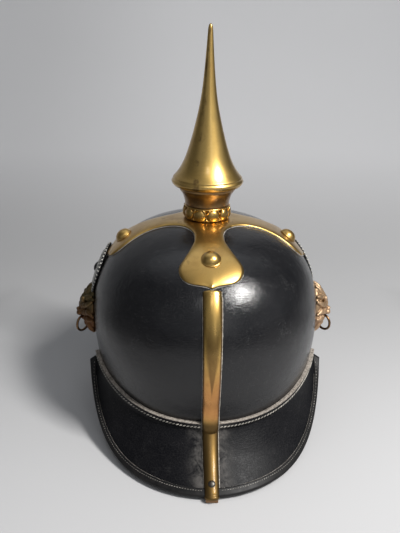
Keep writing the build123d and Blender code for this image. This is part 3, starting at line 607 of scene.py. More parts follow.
screw_finish = plain_finish("screw_steel", (0.10, 0.095, 0.085), (0.05, 0.035, 0.025), 0.4, 1.0, 600)
black_paint = plain_finish("cockade_black", (0.010, 0.010, 0.011), (0.022, 0.021, 0.020), 0.3, 0.0, 500)
white_paint = plain_finish("cockade_silver", (0.62, 0.61, 0.57), (0.38, 0.36, 0.32), 0.38, 0.25, 500)
band_finish = plain_finish(
    "band_leather", (0.24, 0.125, 0.052), (0.13, 0.062, 0.026), 0.5, scale=140, bump=0.3 * mm
)
cord_finish = plain_finish("cord", (0.46, 0.39, 0.27), (0.30, 0.24, 0.16), 0.85, 0.0, 900, 0.2 * mm)
washer_finish = plain_finish("washer_leather", (0.10, 0.06, 0.035), (0.05, 0.03, 0.018), 0.6)


# Shell


def shell_piece():
    """Leather skull: a turned dome drawn out to its oval plan, its foot following the rim."""
    turn_steps = 34
    wall_steps = 14
    start_radius = 9 * mm
    chain = []
    start_turn = (start_radius / half_width) ** (roundness / 2)
    for step in range(turn_steps + 1):
        turn = start_turn + (pi / 2 - start_turn) * step / turn_steps
        radius = half_width * sin(turn) ** (2 / roundness)
        chain.append((radius, widest_level + (crown_level - widest_level) * cos(turn) ** (2 / roundness)))
    for step in range(1, wall_steps + 1):
        chain.append((half_width, widest_level - (widest_level - rim_rear_level) * step / wall_steps))
    bm = turned(chain, 176)
    for vertex in bm.verts:
        x, y, z = vertex.co
        y *= half_length / half_width
        if z < widest_level:
            down = (widest_level - z) / (widest_level - rim_rear_level)
            z = widest_level - (widest_level - rim_level(y)) * down
            share = wall_share(z)
            x *= share
            y *= share
        vertex.co = (x, y, z)
    facing_out(bm, Vector((0, 0, widest_level)))
    piece = finished("leather_shell", bm, [leather_finish], ["shell"])
    thicken(piece, leather)
    return round_edges(piece, 0.6 * mm)


# Guard and visor


def brim_point(form, turn, along, rise=0.0):
    """Point on a brim's outer face, along from 0 at its top to 1 at its foot, and the outward step."""
    end = form["end"]
    y_wall = end * wall_radius(turn, rim_side_level) * cos(radians(turn))
    rim = rim_level(y_wall)
    swept = max(0, (abs(turn) - form["flat_turn"]) / (corner_turn - form["flat_turn"])) ** form["sweep"]
    corner_y = wall_radius(corner_turn, rim_side_level) * cos(radians(corner_turn))
    foot_level = form["edge"] + (rim_level(corner_y) - form["edge"]) * swept
    stand_off = seat_gap + leather
    top_level = rim + seam_overlap
    bend_level = max(rim, foot_level + leather)
    seam_level = (top_level + bend_level) / 2
    bend_radius = wall_radius(turn, bend_level) + stand_off
    full_foot = 1 / hypot(sin(radians(turn)) / brim_foot_half_width, cos(radians(turn)) / form["reach"])
    flare = (full_foot - bend_radius) * (1 - (1 - corner_flare_share) * swept)
    points = [
        Vector((wall_radius(turn, top_level) + stand_off, top_level)),
        Vector((wall_radius(turn, seam_level) + stand_off, seam_level)),
        Vector((bend_radius, bend_level)),
        Vector((bend_radius + flare * 0.5**brim_concavity, (bend_level + foot_level) / 2)),
        Vector((bend_radius + flare, foot_level)),
    ]
    here = through(points, along)
    ahead = through(points, min(1, along + 0.01))
    behind = through(points, max(0, along - 0.01))
    step = (ahead - behind).normalized()
    out = Vector((-step.y, step.x))
    if out.x < 0:
        out = -out
    here = here + out * rise
    outward = Vector((sin(radians(turn)), end * cos(radians(turn)), 0))
    point = outward * here.x + Vector((0, 0, here.y))
    return point, outward * out.x + Vector((0, 0, out.y))


def brim_piece(name, form, finishes, node):
    """Leather brim, its last finish on the cut rim."""

    def place(across, along):
        turn = (across * 2 - 1) * corner_turn
        return brim_point(form, turn, along)[0]

    bm = facing_out(grid(150, 26, place), Vector((0, 0, crown_level / 2)))
    piece = finished(name, bm, finishes, [node])
    thicken(piece, leather, len(finishes) - 1)
    return round_edges(piece, 0.5 * mm)


def foot_share(form, turn, distance):
    """Share along a brim's face at a distance up from its foot."""
    key = (form["end"], round(turn, 4), distance)
    if key in foot_shares:
        return foot_shares[key]
    foot = brim_point(form, turn, 1)[0]
    low = 0.5
    high = 1.0
    for _ in range(18):
        middle = (low + high) / 2
        if (brim_point(form, turn, middle)[0] - foot).length > distance:
            low = middle
        else:
            high = middle
    foot_shares[key] = high
    return high


def strip_piece(name, form, finish, node, thickness):
    """Folded strip round a brim's foot: up the outer face, round the edge and up the inner face."""
    leg = 6
    depth = skin + thickness
    fold_reach = leather / 2 + depth

    def place(across, along):
        turn = (across * 2 - 1) * (corner_turn - 0.2)
        climb = foot_share(form, turn, strip_band)
        foot, out = brim_point(form, turn, 1)
        fold = along * 3
        if fold <= 1:
            share = climb + (1 - climb) * fold
            return brim_point(form, turn, share, depth)[0]
        if fold <= 2:
            angle = (fold - 1) * pi
            down = Vector((0, 0, 1)).cross(out).cross(out)
            down = -down.normalized() if down.z > 0 else down.normalized()
            middle = foot - out * (leather / 2)
            return middle + out * fold_reach * cos(angle) + down * depth * sin(angle)
        share = 1 - (1 - climb) * (fold - 2)
        return brim_point(form, turn, share, -leather - depth)[0]

    bm = grid(150, leg * 3, place)
    for vertex in bm.verts:
        vertex.co.z = max(vertex.co.z, 0)
    facing_out(bm, Vector((0, 0, 0.02)))
    piece = finished(name, bm, [finish], [node], 60)
    return thicken(piece, thickness * 0.9, even=False)


def stitch_row(name, form, pitch, length, thick, lean, rise, above_foot=None):
    """Row of single stitches along a brim, by its seam or at a distance above its foot."""
    lumps = Lumps()
    last_turn = corner_turn - 2
    turn = -last_turn
    while turn < last_turn:
        share = foot_share(form, turn, above_foot) if above_foot else seam_stitch_share
        point, out = brim_point(form, turn, share, rise)
        ahead = brim_point(form, turn + 0.4, share, rise)[0]
        along = (ahead - point).normalized()
        up = out.cross(along).normalized()
        if up.z < 0:
            up = -up
        slant = along * cos(radians(lean)) + up * sin(radians(lean))
        if abs(point.x) > spine_clear or form is visor_form:
            lumps.bead(point - slant * length / 2, point + slant * length / 2, thick, 0.8, out)
        turn += pitch / max(0.05, point.xy.length) * 180 / pi * random.uniform(0.94, 1.06)
    return finished(name, lumps.into(bmesh.new()), [thread_finish])


def polish_line(name, points, thick, side_share=1.0):
    """Uneven line of dried polish along an edge, thinner towards the sides."""
    radii = [
        thick * (0.55 + 0.9 * abs(noise(point * 260))) * (1 - (1 - side_share) * abs(point.x) / half_width)
        for point in points
    ]
    return finished(name, tube(points, radii, polish_sides), [polish_finish])


def beside_spine(points, way):
    """Points of a line that lie clear of the spine on one side, -1 left or 1 right."""
    return [point for point in points if point.x * way > spine_clear]


def guard_set():
    """Guard and visor with their edge strips, stitches and lines of dried polish."""
    brim_piece("leather_guard", guard_form, [guard_finish, raw_edge_finish], "neck_guard")
    brim_piece("leather_visor", visor_form, [leather_finish, raw_edge_finish], "front_visor")
    strip_piece("guard_edge_strip", guard_form, edge_finish, "guard_edging", 0.8 * mm)
    strip_piece("visor_edge_strip", visor_form, trim_finish, "visor_trim", 1.0 * mm)
    stitch_row("guard_seam_stitches", guard_form, 2.7 * mm, 2.6 * mm, thick=0.46 * mm, lean=24, rise=0.1 * mm)
    stitch_row("visor_seam_stitches", visor_form, 2.7 * mm, 2.4 * mm, thick=0.3 * mm, lean=0, rise=0.05 * mm)
    stitch_row(
        "guard_edge_stitches", guard_form, 1.9 * mm, 1.2 * mm, thick=0.16 * mm, lean=8, rise=skin + 0.82 * mm,
        above_foot=edge_stitch_distance,
    )
    turns = [polish_turn * (2 * step / polish_steps - 1) for step in range(polish_steps + 1)]
    seam = [brim_point(guard_form, turn, 0.012, -leather * 0.42)[0] for turn in turns]
    polish_line("seam_polish_left", beside_spine(seam, -1), 0.50 * mm, 0.4)
    polish_line("seam_polish_right", beside_spine(seam, 1), 0.58 * mm, 0.4)
    strip_top = []
    for turn in turns:
        share = foot_share(guard_form, turn, strip_band + 0.1 * mm)
        strip_top.append(brim_point(guard_form, turn, share, 0.05 * mm)[0])
    polish_line("strip_polish_right", beside_spine(strip_top, 1), 0.22 * mm, 0.3)
    polish_line("strip_polish_left", beside_spine(strip_top, -1), 0.18 * mm, 0.3)


# Cross


def arm_edge(arm, other_waist):
    """Edge of one half of an arm, from the middle square out to the tip, as plan points (across, out)."""
    waist = arm["waist"]
    shoulder = arm["shoulder"]
    tip = arm["tip"]
    centre = Vector((waist + notch_radius, other_waist + notch_radius))
    notch = [
        centre - Vector((cos(radians(turn)), sin(radians(turn)))) * notch_radius
        for turn in (45, 36, 27, 18, 9, 0)
    ]
    spread = shoulder - waist
    flank = [
        Vector((waist + spread * share, tip * run))
        for share, run in (
            (0.02, 0.52), (0.14, 0.58), (0.36, 0.655), (0.66, 0.73), (0.92, 0.79), (1.0, 0.835),
        )
    ]
    cheek = [
        Vector((shoulder * share, tip * run))
        for share, run in (
            (0.975, 0.872), (0.88, 0.912), (0.72, 0.943), (0.52, 0.962), (0.34, 0.973), (0.18, 0.982),
            (0.07, 0.992),
        )
    ]
    return notch + flank + cheek + [Vector((0, tip))]


def edge_distance(point, outline):
    """Distance in plan from a point to a closed outline."""
    best = 1.0
    for first, second in zip(outline, outline[1:] + outline[:1]):
        run = second - first
        share = max(0, min(1, (point - first).dot(run) / max(run.length_squared, 1e-12)))
        best = min(best, (point - first - run * share).length)
    return best


def cross_outline():
    """Whole outline of the cross in plan, arm after arm."""
    outline = []
    for quarter, arm in enumerate(arms):
        edge = arm_edge(arm, arms[quarter - 1]["waist"])
        left = [Vector((-point.x, -point.y)) for point in edge]
        right = [Vector((point.x, -point.y)) for point in reversed(edge)]
        turn = Matrix.Rotation(quarter * pi / 2, 2)
        outline += [turn @ point for point in (left + right[1:])[:-1]]
    return outline


def pillow(distance):
    """Height of the cross's face over its rim, by distance from the edge."""
    share = min(1, distance / pillow_width)
    return cross_edge_rise + cross_pillow_rise * sqrt(1 - (1 - share) ** 2)


def cross_piece():
    """Four pillowed arms with ogee ends, fitted to the dome."""
    outline = cross_outline()
    rows = 46
    columns = 22
    diagonal_share = 0.16
    ridge_start = 0.82
    ridge_height = 0.5 * mm
    bm = bmesh.new()
    for quarter, arm in enumerate(arms):
        edge = arm_edge(arm, arms[quarter - 1]["waist"])
        turn = Matrix.Rotation(quarter * pi / 2, 2)

        def place(across, along):
            if along < diagonal_share:
                rim = edge[0] * (0.5 + 0.5 * along / diagonal_share)
            else:
                rim = through(edge, (along - diagonal_share) / (1 - diagonal_share))
            side = across * 2 - 1
            plan = turn @ Vector((rim.x * side, -rim.y))
            rise = pillow(edge_distance(plan, outline))
            fade = max(0, (along - ridge_start) / (1 - ridge_start))
            ridge = max(0, 1 - abs(side) * 2) * fade * ridge_height
            return dome_point(plan.x, plan.y, rise + ridge)[0]

        gather(bm, grid(columns, rows, place))
    bmesh.ops.remove_doubles(bm, verts=bm.verts, dist=0.02 * mm)
    facing_out(bm, Vector((0, 0, widest_level)))
    piece = finished("cross_plate", bm, [cross_finish], ["cross_base"])
    thicken(piece, 0.75 * mm)
    line = [dome_point(point.x * 1.004, point.y * 1.004, 0.12 * mm)[0] for point in outline]
    radii = [0.42 * mm * (0.35 + 1.1 * abs(noise(point * 170))) for point in line]
    finished("cross_polish", tube(line, radii, polish_sides, True), [polish_finish])
    return piece


def dome_seat(x, y, rise):
    """Matrix of a seat on the dome, Z out of the shell."""
    return seat_matrix(*dome_point(x, y, rise))


def stud_pieces():
    """Domed stud heads with a thin collar at the foot."""
    profile = [
        (0, 5.2), (1.4, 5.1), (2.9, 4.72), (4.3, 4.02), (5.5, 3.05), (6.3, 1.95), (6.7, 0.95), (6.9, 0.62),
        (7.35, 0.5), (7.4, 0.12), (7.1, -0.15), (2.0, -0.2), (1.9, -9.0), (0, -9.2),
    ]
    bm = bmesh.new()
    for x, y in ((0, -stud_distance), (stud_distance, 0), (0, stud_distance), (-stud_distance, 0)):
        stud = turned_mm(profile, 48)
        bmesh.ops.transform(stud, matrix=dome_seat(x, y, 1.75 * mm), verts=stud.verts)
        gather(bm, stud)
    finished("stud_heads", bm, [cross_finish], ["arm_studs"], 50)


# Spike, neck and collar


def spike_pieces():
    """Turned spike, its neck and the washer between them."""
    spike = [
        (0, 310.0), (0.75, 309.7), (1.35, 308.9), (1.75, 307.2), (2.0, 304.0), (2.55, 296.0), (3.4, 284.1),
        (4.35, 273.5), (5.55, 262.4), (7.4, 251.0), (10.0, 239.9), (12.8, 228.5), (16.5, 216.6),
        (19.0, 210.2), (22.1, 204.6), (24.4, 201.4), (26.5, 199.0), (27.35, 198.2), (27.1, 197.7),
        (27.2, 197.2), (28.2, 196.2), (28.4, 195.3), (28.0, 194.0), (26.9, 192.6), (26.3, 191.9),
        (25.2, 191.8), (20.0, 191.85), (9.0, 191.9), (0, 191.9),
    ]
    bm = turned_mm(spike, 128)
    subdivided(finished("spike_body", bm, [spike_finish], ["spike"], 180, "spike"))
    neck = [
        (22.25, 190.8), (22.3, 189.6), (21.9, 188.4), (20.6, 186.8), (19.3, 184.5), (18.3, 181.6),
        (17.6, 178.4), (17.55, 177.0), (17.0, 176.6), (15.0, 176.55), (15.0, 170.0), (15.0, 165.7),
        (12.0, 165.65), (10.95, 165.6), (10.95, 152.6), (9.3, 152.6), (9.3, 166.6), (9.0, 167.6),
        (7.9, 178.0), (7.9, 190.75),
    ]
    bm = turned_mm(neck + neck[:1])
    finished("neck_body", bm, [neck_finish], ["spike_neck"], 35)
    washer = [(20.5, 191.0), (20.5, 191.6), (8.1, 191.6), (8.1, 191.0), (20.5, 191.0)]
    bm = turned_mm(washer)
    finished("seat_washer", bm, [washer_finish], ["spike_washer"], body="spike_seat")


def from_rear(turn, radius, level):
    """Point round the helmet's axis, turn in radians from the rear, radius and level in millimetres."""
    return Vector((sin(turn), -cos(turn), 0)) * radius * mm + Vector((0, 0, level * mm))


def collar_piece():
    """Collar of oval bosses with pointed leaves between them."""
    profile = [
        (15.4, 176.35), (17.2, 176.3), (17.9, 175.9), (18.05, 175.3), (17.8, 174.7), (17.2, 174.3),
        (16.9, 173.0), (16.9, 167.6), (17.3, 167.0), (17.6, 166.5), (17.5, 166.1), (17.0, 165.95),
        (15.4, 165.95), (15.4, 176.35),
    ]
    bm = turned_mm(profile, 120)
    lumps = Lumps()
    count = 10
    first_turn = 14
    leaf_spread = 8.5
    for index in range(count):
        turn = radians(first_turn + 360 / count * index)
        out = Vector((sin(turn), -cos(turn), 0))
        across = Vector((cos(turn), sin(turn), 0))
        basis = axes_matrix(across, Vector((0, 0, 1)), out)
        lumps.ball(from_rear(turn, 16.7, 170.4), (5.2 * mm, 5.0 * mm, 2.75 * mm), basis, 24)
        dart = turn + pi / count
        for side in (-1, 1):
            top = from_rear(dart - side * radians(leaf_spread), 18.4, 175.6)
            lumps.bead(top, from_rear(dart, 18.2, 171.4), 0.75 * mm)
        lumps.ball(from_rear(dart, 17.3, 167.2), (1.1 * mm, 1.1 * mm, 1.2 * mm), None, 12)
    finished("leaf_ring", lumps.into(bm), [collar_finish], ["leaf_collar"], 60)


# Spine


def spine_path():
    """Points and outward steps down the rear, from the cross to the guard's foot."""
    stations = []
    for level in (137.5, 131, 124, 116, 108, 100, 91, 82):
        reach = half_length * wall_share(level * mm)
        point, normal = dome_point(0, -reach)
        point.z = level * mm
        stations.append((point, normal))
    for level in (73, 64, 54):
        reach = half_length * wall_share(level * mm)
        slope = half_length * (wall_share((level + 3) * mm) - wall_share((level - 3) * mm)) / (6 * mm)
        stations.append((Vector((0, -reach, level * mm)), Vector((0, -1, -slope)).normalized()))
    bridge = Vector((0, -half_length * wall_share(45 * mm) - leather / 2, 45 * mm))
    stations.append((bridge, stations[-1][1]))
    for share in (0.09, 0.27, 0.45, 0.58, 0.7, 0.81, 0.91, 0.985):
        stations.append(brim_point(guard_form, 0, share))
    foot, out = brim_point(guard_form, 0, 1)
    for drop, turn in ((0.7, 24), (1.5, 52)):
        tipped = Matrix.Rotation(radians(turn), 3, "X") @ out
        stations.append((foot + Vector((0, 0.3 * drop, -drop)) * mm, tipped))
    return stations


def spine_half_width(level):
    """Half of the spine's width, tapering down to the bend and again to the foot."""
    bend = 40 * mm
    if level >= bend:
        return (11.9 + 1.6 * (level - bend) / (97.5 * mm)) * mm / 2
    return (10.4 + 1.5 * level / bend) * mm / 2


def spine_piece():
    """Arched brass channel, hooked under the guard's edge."""
    stations = spine_path()
    centres = [point for point, out in stations]
    outs = [out for point, out in stations]
    arch_height = 4.0 * mm
    flange_height = 0.9 * mm
    flange_share = 0.93
    flange_round = 0.03
    foot_round = 0.03
    strip_height = 1.15 * mm

    def place(across, along):
        centre = through(centres, along)
        out = through(outs, along).normalized()
        half = spine_half_width(centre.z)
        side = across * 2 - 1
        if abs(side) > flange_share:
            height = flange_height * (1 - max(0, (abs(side) - 1) / flange_round + 1))
        else:
            bow = abs(side) / flange_share
            height = flange_height + (arch_height - flange_height) * sqrt(1 - bow * bow)
        foot = min(1, (1 - along) / foot_round)
        height = height * (0.25 + 0.75 * sqrt(1 - (1 - foot) ** 2))
        over_strip = strip_height * min(1, max(0, (along - 0.93) / 0.02))
        return centre + out * (height + seat_gap + over_strip) + Vector((half * side, 0, 0))

    bm = facing_out(grid(28, 130, place), Vector((0, 0, 80 * mm)))
    piece = finished("spine_channel", bm, [spine_finish], ["rear_spine"], 50)
    thicken(piece, 0.8 * mm)
    foot = brim_point(guard_form, 0, 1)[0]
    lip = bmesh.new()
    width = 8.8 * mm
    outline = [
        (-2.9, 4.6), (-2.9, 0.6), (-2.2, 0.05), (6.2, 0.05), (6.8, 0.5), (6.2, 1.15), (-1.2, 1.2),
        (-1.4, 4.6),
    ]
    corners = [lip.verts.new((-width / 2, foot.y + y * mm, z * mm)) for y, z in outline]
    side = lip.faces.new(corners)
    moved = bmesh.ops.extrude_face_region(lip, geom=[side])
    extruded = [item for item in moved["geom"] if isinstance(item, bmesh.types.BMVert)]
    bmesh.ops.translate(lip, verts=extruded, vec=(width, 0, 0))
    bmesh.ops.recalc_face_normals(lip, faces=lip.faces)
    hook = finished("spine_hook", lip, [ring_finish])
    round_edges(hook, 0.5 * mm, 3)
    head = [(0, 0.95), (1.0, 0.9), (1.9, 0.65), (2.5, 0.2), (2.6, -0.3), (2.3, -0.6), (0, -0.6)]
    screw = turned_mm(head, 32)
    seat = brim_point(guard_form, 0, foot_share(guard_form, 0, 7.2 * mm), arch_height)
    bmesh.ops.transform(screw, matrix=seat_matrix(*seat), verts=screw.verts)
    finished("screw_head", screw, [screw_finish], ["spine_screw"])
    for way, name, thick in ((-1, "left", 0.16 * mm), (1, "right", 0.42 * mm)):
        line = []
        for step in range(200):
            along = 0.02 + 0.96 * step / 199
            centre = through(centres, along)
            out = through(outs, along).normalized()
            beside = spine_half_width(centre.z) + 0.25 * mm
            line.append(centre + out * 0.15 * mm + Vector((way * beside, 0, 0)))
        polish_line(f"spine_polish_{name}", line, thick)


# Lion bosses and rings
boss_forward = 2 * mm
boss_level = 84 * mm
boss_lift = 0.35 * mm


def boss_matrix(side):
    """Seat of a boss: X to front or rear, Y up, Z out of the shell."""
    x_out = side * half_width * sqrt(1 - (boss_forward / half_length) ** 2)
    basis = axes_matrix(Vector((0, side, 0)), Vector((0, 0, 1)), Vector((side, 0, 0)))
    return Matrix.Translation((x_out, boss_forward, boss_level)) @ basis


def lock(lumps, start, heading, length, thick, bend, height):
    """One lock of mane, in millimetres: a chain of shrinking balls on a bent line."""
    steps = 6
    start = Vector((*start, 0)) * mm
    heading = Vector((*heading, 0)).normalized()
    side = Vector((-heading.y, heading.x, 0))
    for step in range(steps):
        share = step / (steps - 1)
        point = start + heading * (length * mm) * share + side * (bend * mm) * share**2
        lift = height * mm * (1 - 0.75 * share**2)
        size = thick * mm * (1 - 0.55 * share)
        lumps.ball(Vector((point.x, point.y, lift)), (size, size, size * 0.9), None, 10)


def lion_piece(side, name):
    """Cast lion's head: mane in three rings of locks, brow, eyes, nose, muzzle and open jaw."""
    lumps = Lumps()

    def ball(centre, radii, steps, turn=None):
        lumps.ball(Vector(centre) * mm, [radius * mm for radius in radii], turn, steps)

    ball((0, 0, 0.5), (16.8, 21.0, 6.4), 32)
    rings = ((17, 13.2, 17.0, 2.9, 4.6, 4.6), (14, 10.4, 13.8, 2.8, 7.2, 4.4), (11, 7.6, 10.6, 2.4, 9.4, 3.6))
    for ring, (count, radius_x, radius_y, thick, high, length) in enumerate(rings):
        for index in range(count):
            turn = 2 * pi * (index + 0.5 * (ring % 2)) / count
            if ring == 2 and cos(turn) < -0.35:
                continue
            start = (radius_x * sin(turn), radius_y * cos(turn))
            bend = 1.7 if index % 2 else -1.4
            lock(lumps, start, (sin(turn), cos(turn)), length, thick, bend, high)
    ball((0, 2.0, 6.6), (8.8, 10.6, 6.0), 24)
    ball((0, 7.4, 10.4), (5.6, 3.6, 2.6), 20)
    eye = ((3.7, 3.0, 10.6), (1.6, 1.05, 1.2), 14)
    cheek = ((5.6, -0.6, 9.2), (3.0, 3.6, 3.0), 18)
    lip = ((2.6, -3.6, 13.2), (3.1, 2.5, 3.0), 20)
    ear = ((8.6, 11.2, 8.8), (2.2, 2.6, 1.8), 14)
    for way in (-1, 1):
        ball((3.9 * way, 5.0, 11.0), (2.9, 1.35, 1.6), 16, Matrix.Rotation(radians(-16 * way), 4, "Z"))
        for (x, y, z), radii, steps in (eye, cheek, lip, ear):
            ball((x * way, y, z), radii, steps)
        lock(lumps, (4.0 * way, -9.6), (1.2 * way, -2), 5, 2.4, 0, 6.4)
    ball((0, 2.4, 12.0), (1.9, 4.8, 2.2), 20)
    ball((0, -1.2, 14.6), (2.5, 1.5, 1.9), 18)
    ball((0, -9.4, 8.4), (3.9, 2.4, 4.4), 20)
    for way in (-1, 0, 1):
        lock(lumps, (2.6 * way, -11.0), (0.5 * way, -2), 5.5, 2.2, 0, 7.0)
    bm = lumps.into(bmesh.new())
    bmesh.ops.transform(bm, matrix=boss_matrix(side), verts=bm.verts)
    for vertex in bm.verts:
        low = side * half_width * sqrt(max(0.01, 1 - (vertex.co.y / half_length) ** 2))
        low *= wall_share(vertex.co.z)
        if vertex.co.x * side < low * side + boss_lift:
            vertex.co.x = low + side * boss_lift
    piece = finished(f"lion_head_{name}", bm, [boss_finish], [f"lion_boss_{name}"], 180)
    cast = piece.modifiers.new("cast", "REMESH")
    cast.mode = "VOXEL"
    cast.voxel_size = 0.42 * mm
    cast.use_smooth_shade = True
    relax = piece.modifiers.new("relax", "SMOOTH")
    relax.factor = 0.5
    relax.iterations = 2
    return piece


def ring_piece(side, name):
    """Loose ring that hangs in the lion's mouth."""
    radius = 6.8 * mm
    wire = 1.05 * mm
    yaw = radians(37)
    mouth = Vector((side * 104.6 * mm, boss_forward, 76 * mm))
    centre = mouth - Vector((0, 0, radius))
    across = Vector((side * sin(yaw), -cos(yaw), 0))

    def place(around, section):
        turn = 2 * pi * around
        roll = 2 * pi * section
        out = across * cos(turn) + Vector((0, 0, sin(turn)))
        normal = across.cross(Vector((0, 0, 1)))
        return centre + out * (radius + wire * cos(roll)) + normal * wire * sin(roll)

    bm = closed_skin(grid(72, 16, place))
    node = f"lion_ring_{name}"
    finished(f"hanging_ring_{name}", bm, [ring_finish], [node], 180, f"ring_{name}")


# Cockades


def cockade_matrix(side):
    """Seat of a disc on the shell, nearer the front on the right."""
    angle = radians(74 if side > 0 else 84)
    share = wall_share(116.5 * mm)
    return dome_seat(side * half_width * share * sin(angle), half_length * share * cos(angle), 0)


def cockade_piece(side, name):
    """Fluted disc in three rings, its crests painted silver white."""
    flutes = 44
    steps = 6
    seat = cockade_matrix(side)
    unseat = seat.inverted()
    radius = 23.4 * mm
    flute_depth = 0.42 * mm
    flute_start = 0.31
    outer_ring_start = 0.675
    profile = ((0.0, 3.9), (0.29, 3.7), (0.31, 3.0), (0.66, 2.3), (0.69, 1.5), (0.97, 0.15), (1.0, -0.9))

    def rise(share):
        for (first, low), (second, high) in zip(profile, profile[1:]):
            if share <= second:
                return (low + (high - low) * (share - first) / (second - first)) * mm
        return profile[-1][1] * mm

    def place(around, out):
        share = 0.02 + 0.98 * out
        wave = cos(2 * pi * around * flutes)
        depth = 0.0 if share < flute_start else flute_depth * min(1, (share - flute_start) / 0.1)
        turn = 2 * pi * around
        reach = radius * share * (1 + 0.012 * wave * (share > 0.9))
        point = Vector((cos(turn) * reach, sin(turn) * reach, rise(share) + depth * wave))
        return seat @ point

    bm = grid(flutes * steps, 40, place)
    for face in bm.faces:
        local = unseat @ face.calc_center_median()
        share = local.xy.length / radius
        crest = local.z > rise(share) + 0.02 * mm
        middle_ring = flute_start < share < outer_ring_start
        face.material_index = 1 if middle_ring or (share >= outer_ring_start and crest) else 0
    bmesh.ops.remove_doubles(bm, verts=bm.verts, dist=mm / 1000)
    open_edges = [edge for edge in bm.edges if edge.is_boundary]
    hole = [edge for edge in open_edges if (unseat @ edge.verts[0].co).xy.length < radius / 4]
    bmesh.ops.holes_fill(bm, edges=hole, sides=0)
    facing_out(bm, seat @ Vector((0, 0, -0.2)))
    paints = [black_paint, white_paint]
    piece = finished(f"fluted_disc_{name}", bm, paints, [f"cockade_{name}"], 60)
    return thicken(piece, 0.6 * mm)


def rivet_pieces():
    """Domed rivet through the middle of each disc."""
    bm = bmesh.new()
    profile = [(0, 6.0), (1.6, 5.8), (3.0, 5.2), (4.0, 4.4), (4.1, 4.1), (1.3, 4.0), (1.3, -4.0), (0, -4.0)]
    for side in (-1, 1):
        rivet = turned_mm(profile, 32)
        bmesh.ops.transform(rivet, matrix=cockade_matrix(side), verts=rivet.verts)
        gather(bm, rivet)
    finished("disc_rivets", bm, [black_paint], ["cockade_rivets"])


# Sweatband
tongues = 12
band_foot_level = 58.2 * mm
band_split_level = 81 * mm
band_top_level = 106 * mm
hem_radius = 2.0 * mm


def band_point(turn, level, lean):
    """Point inside the shell at a level, lean in from its inner face."""
    share = wall_share(min(level, widest_level))
    x = (half_width * share - leather - lean) * cos(turn)
    y = (half_length * share - leather - lean * half_length / half_width) * sin(turn)
    return Vector((x, y, level))


def sweatband_piece():
    """Lining band with twelve tongues, each folded over the draw cord."""
    hem_share = 0.28

    def lean_at(level):
        up = (level - band_foot_level) / (band_top_level - band_foot_level)
        return (0.25 + 10.0 * up**0.8) * mm

    def ring(around, up):
        level = band_foot_level + (band_split_level - band_foot_level) * up
        return band_point(2 * pi * around, level, lean_at(level))

    bm = grid(180, 12, ring)
    for index in range(tongues):
        middle = 2 * pi * index / tongues

        def tongue(across, up):
            fold = up * (1 + hem_share)
            width = 1 - 0.16 * min(1, fold) ** 1.5
            turn = middle + (across - 0.5) * 2 * pi / tongues * width
            if fold <= 1:
                level = band_split_level + (band_top_level - band_split_level) * fold
                return band_point(turn, level, lean_at(level))
            curl = (fold - 1) / hem_share * pi * 1.15
            lean = lean_at(band_top_level) + (1 - cos(curl)) * hem_radius
            point = band_point(turn, band_top_level, lean)
            point.z = band_top_level + sin(curl) * hem_radius
            return point

        gather(bm, grid(14, 26, tongue))
    bmesh.ops.remove_doubles(bm, verts=bm.verts, dist=0.02 * mm)
    facing_out(bm, Vector((0, 0, 80 * mm)))
    piece = finished("lining_band", bm, [band_finish], ["sweatband"], 60)
    thicken(piece, 1.1 * mm)


def draw_cord_piece():
    """Three-strand cord all round in the tongues' fold."""
    bm = bmesh.new()
    count = 900
    twists = 64
    strand_radius = 0.6 * mm
    strand_reach = 0.55 * mm
    for strand in range(3):
        points = []
        for step in range(count):
            turn = 2 * pi * step / count
            twist = 2 * pi * (strand / 3 + twists * step / count)
            centre = band_point(turn, band_top_level, 13.0 * mm)
            out = Vector((cos(turn), sin(turn), 0))
            up = Vector((0, 0, sin(twist) * strand_reach))
            points.append(centre + out * cos(twist) * strand_reach + up)
        gather(bm, tube(points, [strand_radius] * count, 6, True))
    finished("draw_cord", bm, [cord_finish], ["sweatband_cord"], 180)


# Studio


def camera_piece():
    """Camera at the photograph's height and distance."""
    focal_pixels = 600.007
    long_side = 533
    elevation = radians(21.805)
    yaw = radians(2.732)
    roll = radians(1.014)
    distance = 500.41 * mm
    aim_level = 121.759 * mm
    aim_side = -4.64 * mm
    turn = Matrix.Rotation(-yaw, 3, "Z")
    right = turn @ Vector((1, 0, 0))
    ahead = turn @ Vector((0, cos(elevation), -sin(elevation)))
    up = turn @ Vector((0, sin(elevation), cos(elevation)))
    place = turn @ Vector((aim_side, 0, aim_level)) - ahead * distance
    rolled_right = right * cos(roll) + up * sin(roll)
    rolled_up = up * cos(roll) - right * sin(roll)
    basis = axes_matrix(rolled_right, rolled_up, -ahead)
    data = bpy.data.cameras.new("camera")
    data.sensor_width = 36
    data.lens = focal_pixels / long_side * data.sensor_width
    data.clip_start = 0.01
    data.clip_end = 50
    camera = linked("camera", data)
    camera.matrix_world = Matrix.Translation(place) @ basis
    bpy.context.scene.camera = camera


